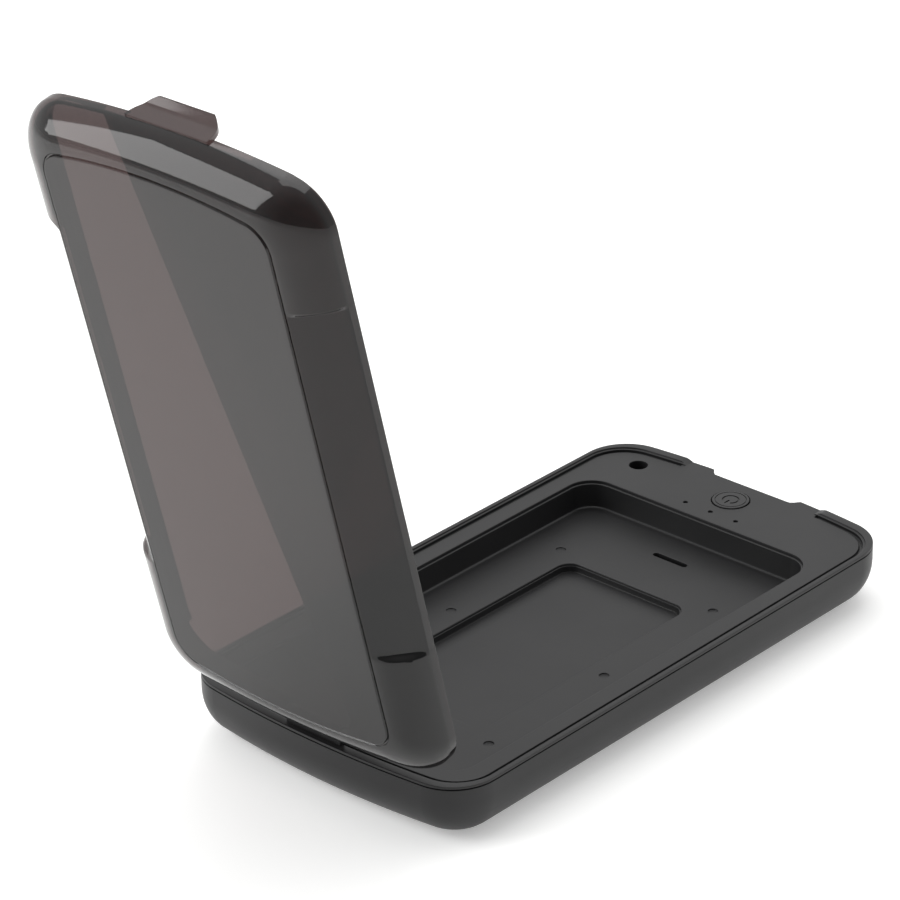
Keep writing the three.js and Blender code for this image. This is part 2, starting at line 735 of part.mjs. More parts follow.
function makeSocket() {
  const mouth = halfX - seatInset - socketSetback;
  const back = mouth - socketLength;
  const z0 = boardTop + gap;
  const plan = (inset) => roundedRectangle(
    socketY - socketWidth / 2 + inset, socketY + socketWidth / 2 - inset,
    z0 + inset, z0 + socketHeight - inset, socketHeight / 2 - inset - sliver,
  );
  const shell = cut(
    barAlongX(plan(0), back, mouth),
    barAlongX(plan(socketShell), back + socketShell, mouth + over),
  );
  const half = socketTongue / 2;
  const middle = z0 + socketHeight / 2;
  return join(shell, box(back + gap, mouth - over, socketY - half, socketY + half, middle - gap, middle + gap));
}

function makeCapacitor(end) {
  const radius = (boardZ - floorTop - sink - capacitorClearance) / 2;
  const y = boardMiddle + end * (radius + capacitorGap / 2);
  const z = floorTop + sink + radius;
  const near = boardAt(powerStagePlace);
  const rear = near + capacitorLength;
  const neck = cut(
    rod(rear - 4 * sink - gap, rear - 3 * sink, y, z, radius + over),
    rod(rear - 5 * sink, rear, y, z, radius - gap),
  );
  return cut(rod(near, rear, y, z, radius), neck);
}

function makeChoke() {
  const ring = new THREE.TorusGeometry(chokeRadius, chokeWire, 10, 20);
  return solid(ring.translate(boardAt(chokePlace), boardMiddle, floorTop + sink + chokeWire));
}

function makeTransistor() {
  const x0 = boardAt(powerStagePlace);
  const x1 = x0 + transistorWidth;
  const y0 = boardFront + transistorMargin;
  const y1 = y0 + transistorLength;
  const body = box(x0, x1, y0, y1, boardTop + gap, boardTop + transistorHeight);
  const tab = box(x0, x1, y1 - sink, y1 + transistorTab, boardTop + gap, boardTop + 4 * gap);
  return join(body, tab);
}

function makeChip() {
  const x = boardAt(chipPlace);
  const half = chipWidth / 2;
  return box(x - half, x + half, boardMiddle - half, boardMiddle + half, boardTop + gap, boardTop + chipHeight);
}

function ringSlab(inner, width, z0, z1) {
  const outline = (grow) => roundedRectangle(
    -inner.halfWidth - grow, inner.halfWidth + grow, inner.front - grow, inner.rear + grow, inner.corner + grow, 6,
  );
  return cut(slab(outline(width), z0, z1), slab(outline(0), z0 - over, z1 + over));
}

function makeFormer() {
  const back = gap + formerRim;
  const inner = {
    halfWidth: coilInner.halfWidth - back,
    front: coilInner.front + back,
    rear: coilInner.rear - back,
    corner: coilInner.corner - back,
  };
  const base = ringSlab(inner, coilBuild + back, formerBottom, formerBottom + formerBase);
  const rim = ringSlab(inner, formerRim, formerBottom, windingTop);
  const reach = footSeatRadius + gap;
  const notches = footPlaces.map(({ x, y }) =>
    box(x - reach - over, x + reach + over, y - reach, y + reach, formerBottom - over, windingBottom),
  );
  return cut(join(base, rim), ...notches);
}

function makeWellWinding() {
  const inner = wellRadius + wellWall + gap;
  const top = boardZ - gap;
  const bottom = top - wellWindingHeight;
  const hole = disc(wellX, buttonY, inner, bottom - over, top + over, 20);
  return cut(disc(wellX, buttonY, inner + wellWindingBuild, bottom, top, 20), hole);
}

// A lead from the front of the winding: level under the tray's edge, then up to the board's underside.
function makeLead(share) {
  const x = boardAt(share);
  const start = coilInner.front - coilBuild - gap;
  const high = boardZ - gap - leadRadius;
  const route = new THREE.CatmullRomCurve3([
    new THREE.Vector3(x, start, windingMiddle),
    new THREE.Vector3(x, start - leadLevel, windingMiddle),
    new THREE.Vector3(x, trayFront - trayWall - leadRadius, windingMiddle),
    new THREE.Vector3(x, boardRear - leadClimb, high),
    new THREE.Vector3(x, boardRear - 2 * leadClimb, high),
  ]);
  const section = new THREE.Shape(arcPoints(0, 0, leadRadius, 0, 2 * Math.PI, 8, false));
  return solid(new THREE.ExtrudeGeometry(section, { steps: 14, bevelEnabled: false, extrudePath: route }));
}

// A crosshead screw from below, its head let into the underside.
function makeCaseScrew({ x, y }) {
  const arm = screwHeadRadius / 2;
  const drive = join(
    box(x - arm, x + arm, y - gap, y + gap, gap - over, 3 * gap),
    box(x - gap, x + gap, y - arm, y + arm, gap - over, 3 * gap),
  );
  const head = disc(x, y, screwHeadRadius, gap, gap + screwHeadHeight);
  return cut(join(head, disc(x, y, screwRadius, gap + sink, trayUnder - 2 * gap, 10)), drive);
}

function makeBoardScrew(x) {
  const y = boardScrewY;
  const slotFloor = boardTop + 3 * gap;
  const headTop = slotFloor + sink;
  const drive = box(x - boardScrewHead, x + boardScrewHead, y - gap, y + gap, slotFloor, headTop + over);
  const head = disc(x, y, boardScrewHead, boardTop + gap, headTop);
  return cut(join(head, disc(x, y, boardScrewRadius, bossTop + 2 * gap, slotFloor, 10)), drive);
}

function makeFoot({ x, y }) {
  const points = [
    new THREE.Vector2(0, -footHeight),
    new THREE.Vector2(footRadius - gap, -footHeight),
    new THREE.Vector2(footRadius, gap - footHeight),
    new THREE.Vector2(footRadius, footTop),
    new THREE.Vector2(0, footTop),
  ];
  return solid(new THREE.LatheGeometry(points, 20).rotateX(Math.PI / 2).translate(x, y, 0));
}

// ---- materials ------------------------------------------------------------------------------------------
function material(color, roughness, metalness, opacity = 1) {
  return new THREE.MeshStandardMaterial({ color, roughness, metalness, opacity, transparent: opacity < 1 });
}

const blackPlastic = material(0x2b2c2e, 0.55, 0);
const smokedPlastic = material(0x6b5f5a, 0.12, 0, 0.45);
const buttonPlastic = material(0x26272a, 0.5, 0);
const rubber = material(0x1b1b1c, 0.9, 0);
const steel = material(0xb9bcc0, 0.3, 1);
const enamelledCopper = material(0xa8542a, 0.35, 0.8);
const boardGreen = material(0x1e5a3a, 0.5, 0);
const chipBlack = material(0x18181a, 0.45, 0);
const formerNylon = material(0xd9d4c6, 0.6, 0);
const clearPlastic = material(0xdfe6ea, 0.1, 0, 0.5);
const ledWhite = material(0xf2efe4, 0.4, 0);
const capacitorSleeve = material(0x23345c, 0.4, 0);
const ferrite = material(0x3b3a3c, 0.7, 0);
const leadRed = material(0x9c2a22, 0.5, 0);

// ---- assembly -------------------------------------------------------------------------------------------
const demagnetizer = new THREE.Group();
demagnetizer.name = "demagnetizer";

function place(parent, name, body, look) {
  const mesh = new THREE.Mesh(geometryOf(body), look);
  mesh.name = name;
  parent.add(mesh);
}

place(demagnetizer, "bottom_tub", makeTub(), blackPlastic);
place(demagnetizer, "top_cover", makeTopCover(), blackPlastic);
place(demagnetizer, "hinge_pin", makeHingePin(), steel);
place(demagnetizer, "power_button", makeButton(), buttonPlastic);
place(demagnetizer, "tact_switch", makeSwitch(), chipBlack);
place(demagnetizer, "light_guide", makeLightGuide(), clearPlastic);
ledPlaces.forEach((spot, i) => place(demagnetizer, `status_led_${i + 1}`, makeLed(spot), ledWhite));
place(demagnetizer, "control_board", makeBoard(), boardGreen);
place(demagnetizer, "power_socket", makeSocket(), steel);
leftAndRight.forEach((end, i) => {
  place(demagnetizer, `storage_capacitor_${i + 1}`, makeCapacitor(end), capacitorSleeve);
});
place(demagnetizer, "choke", makeChoke(), ferrite);
place(demagnetizer, "power_transistor", makeTransistor(), chipBlack);
place(demagnetizer, "controller_chip", makeChip(), chipBlack);
place(demagnetizer, "coil_former", makeFormer(), formerNylon);
place(demagnetizer, "coil_winding", ringSlab(coilInner, coilBuild, windingBottom, windingTop), enamelledCopper);
place(demagnetizer, "well_winding", makeWellWinding(), enamelledCopper);
leadPlaces.forEach((share, i) => place(demagnetizer, `coil_lead_${i + 1}`, makeLead(share), leadRed));
postPlaces.forEach((spot, i) => place(demagnetizer, `case_screw_${i + 1}`, makeCaseScrew(spot), steel));
boardScrewX.forEach((x, i) => place(demagnetizer, `board_screw_${i + 1}`, makeBoardScrew(x), steel));
footPlaces.forEach((spot, i) => place(demagnetizer, `foot_${i + 1}`, makeFoot(spot), rubber));

// The lid stands open: its group is turned about the hinge line.
const lidTurn = new THREE.Group();
lidTurn.position.set(0, hingeY, hingeZ);
lidTurn.rotation.x = THREE.MathUtils.degToRad(-lidOpenAngle);
const lidShut = new THREE.Group();
lidShut.position.set(0, -hingeY, -hingeZ);
lidTurn.add(lidShut);
demagnetizer.add(lidTurn);
place(lidShut, "lid", makeLid(), smokedPlastic);

export default demagnetizer;
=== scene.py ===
import json
import math

import bmesh
import bpy
from mathutils import Matrix, Vector


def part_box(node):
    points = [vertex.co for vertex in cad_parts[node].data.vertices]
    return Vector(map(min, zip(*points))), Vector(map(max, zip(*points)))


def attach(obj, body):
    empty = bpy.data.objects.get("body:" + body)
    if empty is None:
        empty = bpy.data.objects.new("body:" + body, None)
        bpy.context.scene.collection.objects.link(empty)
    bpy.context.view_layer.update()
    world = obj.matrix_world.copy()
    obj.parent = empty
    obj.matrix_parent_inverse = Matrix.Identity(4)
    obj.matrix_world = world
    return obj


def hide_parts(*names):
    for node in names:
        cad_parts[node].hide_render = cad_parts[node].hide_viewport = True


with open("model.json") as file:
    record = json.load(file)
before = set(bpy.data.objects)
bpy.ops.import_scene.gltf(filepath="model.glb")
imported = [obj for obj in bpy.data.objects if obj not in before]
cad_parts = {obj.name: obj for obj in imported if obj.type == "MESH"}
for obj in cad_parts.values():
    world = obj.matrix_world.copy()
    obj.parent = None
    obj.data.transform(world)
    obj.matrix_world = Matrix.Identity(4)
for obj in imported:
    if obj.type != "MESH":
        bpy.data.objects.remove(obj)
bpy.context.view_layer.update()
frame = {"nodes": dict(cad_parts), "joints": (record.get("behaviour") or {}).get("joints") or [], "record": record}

for startupObject in ("Cube", "Light", "Camera"):
    if startupObject in bpy.data.objects:
        bpy.data.objects.remove(bpy.data.objects[startupObject])

# Everything is modelled in millimetres with the lid shut, and brought to metres when a piece is finished.
perMetre = 1000


def boxOf(node):
    low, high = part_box(node)
    return low * perMetre, high * perMetre


def middleOf(node):
    return [(a + b) / 2 for a, b in zip(*boxOf(node))]


tubHigh = boxOf("bottom_tub")[1]
lidJoint = next(j for j in frame["joints"] if j["name"] == "lid_hinge")
wellLow, wellHigh = next(
    [Vector(corner) * perMetre for corner in opening["box_m"]]
    for opening in frame["record"]["physics"]["openings"]
    if opening["name"] == "tool_well"
)

case = {
    "halfX": tubHigh.x,
    "halfY": tubHigh.y,
    "corner": 17,  # radius of the plan's corners
    "bow": 4.6,  # how far the short ends bulge
    "gap": 0.3,  # between pieces that fit together
    "rimTop": tubHigh.z + 1.3,
    "deckDrop": 1,  # the deck lies below the rim
    "footDepth": -boxOf("foot_1")[0].z,
    "cornerSteps": 14,
    "endSteps": 18,
}
rimTop = case["rimTop"]
deckTop = rimTop - case["deckDrop"]
hinge = Vector(lidJoint["pos_m"]) * perMetre
openAngle = math.radians(lidJoint["range_deg"][1])


# A closed outline at one height: each arc is spun out of one vertex, and straight edges join the arcs.
def arcLoop(bm, arcs, z):
    edges = []
    first = last = None
    for start, centre, angle, steps in arcs:
        vert = last
        if last is None or (last.co.xy - Vector(start)).length > 1e-6:
            vert = bm.verts.new((*start, z))
            if last:
                edges.append(bm.edges.new((last, vert)))
        first = first or vert
        known = set(bm.edges)
        spun = bmesh.ops.spin(
            bm, geom=[vert], cent=(*centre, z), axis=(0, 0, 1), dvec=(0, 0, 0), angle=angle, steps=steps
        )
        edges += [edge for edge in bm.edges if edge not in known]
        last = next(part for part in spun["geom_last"] if isinstance(part, bmesh.types.BMVert))
    edges.append(bm.edges.new((last, first)))
    return edges


# The case's plan: rounded corners and slightly bulging short ends, moved in at the sides and at the ends.
def caseLoop(bm, sideInset, endInset, z, radius=None, centreY=0):
    halfX = case["halfX"] - sideInset
    halfY = case["halfY"] - endInset
    radius = radius or case["corner"] - min(sideInset, endInset)
    bow = case["bow"]
    endRadius = (halfX**2 + bow**2) / (2 * bow)
    endCentre = halfY - endRadius
    cornerX = halfX - radius
    cornerY = endCentre + math.sqrt((endRadius - radius) ** 2 - cornerX**2)
    turn = math.atan2(cornerY - endCentre, cornerX)
    arcs = []
    for side in (1, -1):
        endStart = (cornerX + radius * math.cos(turn), cornerY + radius * math.sin(turn))
        farStart = (-endStart[0], endStart[1])
        for start, centre, angle, steps in (
            ((halfX, cornerY), (cornerX, cornerY), turn, case["cornerSteps"]),
            (endStart, (0, endCentre), math.pi - 2 * turn, case["endSteps"]),
            (farStart, (-cornerX, cornerY), turn, case["cornerSteps"]),
        ):
            place = (side * start[0], side * start[1] + centreY)
            middle = (side * centre[0], side * centre[1] + centreY)
            arcs.append((place, middle, angle, steps))
    return arcLoop(bm, arcs, z)


def roundedLoop(bm, x0, x1, y0, y1, radius, z, steps=9):
    quarter = math.pi / 2
    arcs = [
        ((x1, y1 - radius), (x1 - radius, y1 - radius), quarter, steps),
        ((x0 + radius, y1), (x0 + radius, y1 - radius), quarter, steps),
        ((x0, y0 + radius), (x0 + radius, y0 + radius), quarter, steps),
        ((x1 - radius, y0), (x1 - radius, y0 + radius), quarter, steps),
    ]
    return arcLoop(bm, arcs, z)


def circleLoop(bm, x, y, radius, z, steps=40):
    ring = bmesh.ops.create_circle(bm, segments=steps, radius=radius, matrix=Matrix.Translation((x, y, z)))
    return list({edge for vert in ring["verts"] for edge in vert.link_edges})


def objectFrom(name, bm):
    bmesh.ops.remove_doubles(bm, verts=bm.verts, dist=1e-5)
    bmesh.ops.recalc_face_normals(bm, faces=bm.faces)
    mesh = bpy.data.meshes.new(name)
    bm.to_mesh(mesh)
    bm.free()
    piece = bpy.data.objects.new(name, mesh)
    bpy.context.scene.collection.objects.link(piece)
    return piece


# A solid skinned through loops that makeLoop(bm, *level) draws, one for each level, and capped at both ends.
# Two loops in one plane would be bridged crosswise, so neighbouring levels differ a little in height.
def loft(name, makeLoop, levels):
    bm = bmesh.new()
    loops = [makeLoop(bm, *level) for level in levels]
    for lower, upper in zip(loops, loops[1:]):
        bmesh.ops.bridge_loops(bm, edges=lower + upper)
    for loop in (loops[0], loops[-1]):
        bmesh.ops.edgeloop_fill(bm, edges=loop)
    return objectFrom(name, bm)


def block(name, x0, x1, y0, y1, z0, z1):
    bm = bmesh.new()
    size = Matrix.Diagonal((x1 - x0, y1 - y0, z1 - z0, 1))
    middle = Matrix.Translation(((x0 + x1) / 2, (y0 + y1) / 2, (z0 + z1) / 2))
    bmesh.ops.create_cube(bm, size=1, matrix=middle @ size)
    return objectFrom(name, bm)


def post(name, x, y, *levels, steps=40):
    return loft(name, lambda bm, radius, z: circleLoop(bm, x, y, radius, z, steps), levels)


# A round bar along X, with its end edges rounded over if a rounding is given.
def bar(name, x0, x1, y, z, radius, rounding=0.0, steps=32):
    levels = [(radius, x0), (radius, x1)]
    if rounding:
        shoulder = 0.3 * rounding
        levels = [
            (radius - rounding, x0),
            (radius - shoulder, x0 + shoulder),
            (radius, x0 + rounding),
            (radius, x1 - rounding),
            (radius - shoulder, x1 - shoulder),
            (radius - rounding, x1),
        ]
    piece = post(name, 0, 0, *levels, steps=steps)
    piece.data.transform(Matrix.Translation((0, y, z)) @ Matrix.Rotation(math.pi / 2, 4, "Y"))
    return piece


# Pushes a flat outline out along a vector into a solid.
def pushOut(name, bm, along):
    pushed = bmesh.ops.extrude_face_region(bm, geom=bm.faces[:])
    moved = [part for part in pushed["geom"] if isinstance(part, bmesh.types.BMVert)]
    bmesh.ops.translate(bm, verts=moved, vec=along)
    return objectFrom(name, bm)


# Rounds the corners of a flat outline at the given vertices.
def roundCorners(bm, corners, offset, segments):
    bmesh.ops.bevel(
        bm, geom=corners, offset=offset, segments=segments, profile=0.5, affect="VERTICES", material=-1
    )


# Joins or cuts solids one after another, and leaves one plain mesh.
def combine(piece, operation, *tools):
    for tool in tools:
        step = piece.modifiers.new("combine", "BOOLEAN")
        step.operation = operation
        step.solver = "MANIFOLD"
        step.object = tool
    bpy.context.view_layer.update()
    whole = piece.evaluated_get(bpy.context.evaluated_depsgraph_get())
    mesh = bpy.data.meshes.new_from_object(whole)
    piece.modifiers.clear()
    piece.data = mesh
    for tool in tools:
        bpy.data.objects.remove(tool)
    return piece


def finishPiece(piece, material, body, nodes, sharp=32):
    piece.data.transform(Matrix.Scale(1 / perMetre, 4))
    piece.data.materials.clear()
    piece.data.materials.append(material)
    piece.data.shade_smooth()
    piece.data.set_sharp_from_angle(angle=math.radians(sharp))
    even = piece.modifiers.new("even shading", "WEIGHTED_NORMAL")
    even.keep_sharp = True
    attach(piece, body)
    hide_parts(*nodes)


# A colour as shaders take it, out of the usual six digits.
def linear(hexColour):
    parts = [int(hexColour[i : i + 2], 16) / 255 for i in (1, 3, 5)]
    return (*[p / 12.92 if p <= 0.04045 else ((p + 0.055) / 1.055) ** 2.4 for p in parts], 1)


# A shader node with its values set and its inputs linked.
def addNode(tree, kind, settings=None, links=None):
    node = tree.nodes.new(kind)
    for key, value in (settings or {}).items():
        if isinstance(key, int) or key in node.inputs:
            node.inputs[key].default_value = value
        else:
            setattr(node, key, value)
    for key, source in (links or {}).items():
        tree.links.new(source, node.inputs[key])
    return node


# A surface with two close colours in soft patches, an uneven gloss and a fine grain that stands up as bump.
def surface(name, colours, roughness, grainMm, patchMm, bumpMm, settings=None):
    material = bpy.data.materials.new(name)
    material.use_nodes = True
    tree = material.node_tree
    tree.nodes.clear()
    place = addNode(tree, "ShaderNodeTexCoord").outputs["Object"]
    patches = addNode(
        tree,
        "ShaderNodeTexNoise",
        {"Scale": perMetre / patchMm, "Detail": 3.0, "Roughness": 0.55},
        {"Vector": place},
    )
    colour = addNode(tree, "ShaderNodeValToRGB", None, {"Fac": patches.outputs["Fac"]})
    colour.color_ramp.elements[0].position = 0.3
    colour.color_ramp.elements[0].color = linear(colours[0])
    colour.color_ramp.elements[1].position = 0.7
    colour.color_ramp.elements[1].color = linear(colours[1])
    gloss = addNode(
        tree,
        "ShaderNodeMapRange",
        {"From Min": 0.3, "From Max": 0.7, "To Min": roughness[0], "To Max": roughness[1]},
        {"Value": patches.outputs["Fac"]},
    )
    grain = addNode(
        tree,
        "ShaderNodeTexNoise",
        {"Scale": perMetre / grainMm, "Detail": 2.0, "Roughness": 0.6},
        {"Vector": place},
    )
    bump = addNode(
        tree,
        "ShaderNodeBump",
        {"Strength": 1.0, "Distance": bumpMm / perMetre},
        {"Height": grain.outputs["Fac"]},
    )
    shader = addNode(
        tree,
        "ShaderNodeBsdfPrincipled",
        settings,
        {
            "Base Color": colour.outputs["Color"],
            "Roughness": gloss.outputs["Result"],
            "Normal": bump.outputs["Normal"],
        },
    )
    addNode(tree, "ShaderNodeOutputMaterial", None, {"Surface": shader.outputs["BSDF"]})
    return material


absShine = {"IOR": 1.5, "Specular IOR Level": 0.4}
# Moulded ABS out of a finely sparked mould: near black, a satin sheen, a grain just too fine to count.
blackAbs = surface("moulded black ABS", ("#151516", "#19191a"), (0.40, 0.47), 0.35, 28, 0.012, absShine)
# The button's cap comes out of a smoother mould, so it is a touch glossier than the deck.
capAbs = surface("smooth black ABS", ("#151516", "#19191a"), (0.34, 0.40), 0.3, 9, 0.006, absShine)
# Soft rubber: dull, with a dusty bloom.
footRubber = surface("black rubber", ("#1d1d1d", "#262626"), (0.78, 0.9), 0.5, 4, 0.03, {"IOR": 1.5})
# Zinc-plated steel: cold grey with cloudy patches.
zincSteel = surface("zinc-plated steel", ("#a9acae", "#bfc2c4"), (0.25, 0.38), 0.4, 3, 0.004, {"Metallic": 1.0})
# Enamelled copper wire: warm brown-red under a clear varnish.
varnished = {"Metallic": 0.85, "Coat Weight": 0.5}
enamelWire = surface("enamelled copper", ("#8a3f1d", "#a9552b"), (0.28, 0.36), 0.8, 6, 0.05, varnished)
# Circuit board under green solder mask.
solderMask = surface("green solder mask", ("#164a2e", "#1d5a39"), (0.3, 0.42), 0.6, 5, 0.01, {"IOR": 1.52})
# Chips and the switch are moulded out of filled epoxy: dull black.
filledEpoxy = surface("filled black epoxy", ("#161617", "#1e1e20"), (0.5, 0.62), 0.15, 3, 0.006, {"IOR": 1.55})
# The winding's frame in undyed nylon: milky and slightly waxy.
milky = {"IOR": 1.53, "Subsurface Weight": 0.1}
undyedNylon = surface("undyed nylon", ("#cfc8b6", "#dad4c4"), (0.45, 0.55), 0.4, 12, 0.01, milky)
# Lamp bodies: white filled resin.
lampResin = surface("white lamp resin", ("#e8e4d6", "#f1eee4"), (0.35, 0.45), 0.2, 2, 0.004, {"IOR": 1.5})
# Capacitor cans in a shrunk blue sleeve.
shrinkSleeve = surface("blue shrink sleeve", ("#1b2c55", "#243863"), (0.3, 0.38), 0.5, 6, 0.01, {"IOR": 1.54})
# Sintered ferrite: dense dark grey, faintly granular.
sinteredFerrite = surface("sintered ferrite", ("#2f2e30", "#3a393b"), (0.6, 0.75), 0.25, 4, 0.02, {"IOR": 2.0})
# PVC wire insulation: plain red, slightly shiny.
pvcInsulation = surface("red PVC insulation", ("#8f1f1a", "#a2291f"), (0.38, 0.45), 0.4, 5, 0.006, {"IOR": 1.53})
# The light guide's acrylic is coloured near black, darker than the case, as painted shade: it keeps the lamps' holes
# black.
holeShadeAcrylic = surface("acrylic darkened as hole shade", ("#0c0c0d", "#111112"), (0.08, 0.12), 0.6, 4, 0.001, {"IOR": 1.49})


# Smoked polycarbonate, polished: clear brown-grey, darker where it is looked at along the wall. Each wall
# takes its tint half on the way in and half on the way out, and mirrors only where light meets it from outside.
def smokedPolycarbonate():
    material = bpy.data.materials.new("smoked polycarbonate")
    material.use_nodes = True
    tree = material.node_tree
    tree.nodes.clear()
    place = addNode(tree, "ShaderNodeTexCoord").outputs["Object"]
    flow = addNode(tree, "ShaderNodeTexNoise", {"Scale": 25.0, "Detail": 2.0}, {"Vector": place})
    # the moulding is never quite even
    ripple = addNode(
        tree, "ShaderNodeBump", {"Strength": 1.0, "Distance": 0.04 / perMetre}, {"Height": flow.outputs["Fac"]}
    )
    facing = addNode(tree, "ShaderNodeLayerWeight", {"Blend": 0.5})
    tint = addNode(tree, "ShaderNodeValToRGB", None, {"Fac": facing.outputs["Facing"]})
    tint.color_ramp.elements[0].color = linear("#847675")
    tint.color_ramp.elements[1].color = linear("#453e3c")
    middle = tint.color_ramp.elements.new(0.6)
    middle.color = linear("#7b6e6d")
    through = addNode(tree, "ShaderNodeBsdfTransparent", None, {"Color": tint.outputs["Color"]})
    gloss = addNode(
        tree,
        "ShaderNodeBsdfGlossy",
        {"Color": (1, 1, 1, 1), "Roughness": 0.06},
        {"Normal": ripple.outputs["Normal"]},
    )
    mirror = addNode(tree, "ShaderNodeFresnel", {"IOR": 1.46}, {"Normal": ripple.outputs["Normal"]})
    side = addNode(tree, "ShaderNodeNewGeometry").outputs["Backfacing"]
    outside = addNode(tree, "ShaderNodeMath", {"operation": "SUBTRACT", 0: 1.0}, {1: side})
    share = addNode(
        tree,
        "ShaderNodeMath",
        {"operation": "MULTIPLY"},
        {0: mirror.outputs["Fac"], 1: outside.outputs["Value"]},
    )
    both = addNode(
        tree,
        "ShaderNodeMixShader",
        None,
        {"Fac": share.outputs["Value"], 1: through.outputs["BSDF"], 2: gloss.outputs["BSDF"]},
    )
    addNode(tree, "ShaderNodeOutputMaterial", None, {"Surface": both.outputs["Shader"]})
    return material


lidMaterial = smokedPolycarbonate()
print("materials made")

tub = {
    "wall": 1.8,
    "floor": 2,
    "run": 12,  # the rounded underside, inwards
    "rise": 14.96,  # and upwards
    "edge": 0.25,  # rounding of the top edge
    "steps": 12,
}
tray = {
    "x": case["halfX"] - 10,
    "front": -case["halfY"] + 32.1,
    "rear": case["halfY"] - 12.5,
    "depth": 9.9,
    "corner": 10,
    "wall": 1.6,
    "floor": 1.8,
}
trayTop = deckTop - tray["depth"]
pocket = {
    "x": tray["x"] - 23.5,
    "front": tray["front"] + 38.2,
    "rear": tray["rear"] - 38.2,
    "depth": 3,
    "corner": 6,
    "floor": 1.5,
}
scoop = {
    "halfWidth": 20.5,
    "run": 4.5,  # length of the soft shoulder at each end
    "depth": 3.4,
    "height": 8.5,
    "backing": 1.4,  # wall behind the hollow
    "overrun": 0.4,  # the cutter's ends stand clear of the wall
    "segments": 40,
}
# The rim leaves out a stretch over the scoop, where the deck runs on to the front edge.
plainFront = {
    "halfWidth": 28,
    "tuck": 1.5,  # the front plate goes on under the rim
    "reach": 12,
}
screw = {
    "shank": 1.6,  # this and the next four are radii
    "head": 3.1,
    "boss": 4.6,
    "post": 3.5,
    "dimple": 2,
    "headDepth": 1.9,
    "bossTop": 3.6,
    "holeTop": 8.2,
    "dimpleDepth": 0.6,
}
pad = {
    "radius": 5,
    "recess": 5.3,
    "seat": 6.5,  # thicker floor round the recess
    "recessDepth": 1.1,
    "seatTop": 2.8,
}
screwSpots = [middleOf(f"case_screw_{i}") for i in range(1, 7)]
footSpots = [middleOf(f"foot_{i}") for i in range(1, 5)]
frontEdge = -case["halfY"]


# The finger scoop's plan at one height: straight in front, a soft-shouldered hollow behind.
def scoopLoop(bm, depth, grow, z):
    grid = bmesh.ops.create_grid(bm, x_segments=scoop["segments"], y_segments=1, size=1)
    reach = scoop["halfWidth"] + 3
    overrun = scoop["overrun"]
    for vert in grid["verts"]:
        behind = vert.co.y > 0
        vert.co.x *= reach
        share = min(max((scoop["halfWidth"] + grow - abs(vert.co.x)) / scoop["run"], 0), 1)
        hollow = (depth + grow + overrun) * share**2 * (3 - 2 * share) - overrun
        vert.co.y = frontEdge + hollow if behind else frontEdge - 5
        vert.co.z = z
    faces = {face for vert in grid["verts"] for face in vert.link_faces}
    inside = {edge for face in faces for edge in face.edges if len(edge.link_faces) > 1}
    outline = [edge for face in faces for edge in face.edges if edge not in inside]
    bmesh.ops.delete(bm, geom=list(inside), context="EDGES_FACES")
    return [edge for edge in outline if edge.is_valid]


# Cuts the scoop out of a wall that ends at topEdge, and rounds that edge over.
def scoopCutter(topEdge):
    depth = scoop["depth"]
    foot = rimTop - scoop["height"]
    levels = [
        (0.05, 0, foot),
        (0.35 * depth, 0, foot + 1.2),
        (0.8 * depth, 0, foot + 3),
        (depth, 0, foot + 4.4),
        (depth, 0, topEdge - 0.3),
        (depth, 0.1, topEdge - 0.09),
        (depth, 0.3, topEdge),
        (depth, 0.3, rimTop + 1),
    ]
    return loft("scoop", scoopLoop, levels)


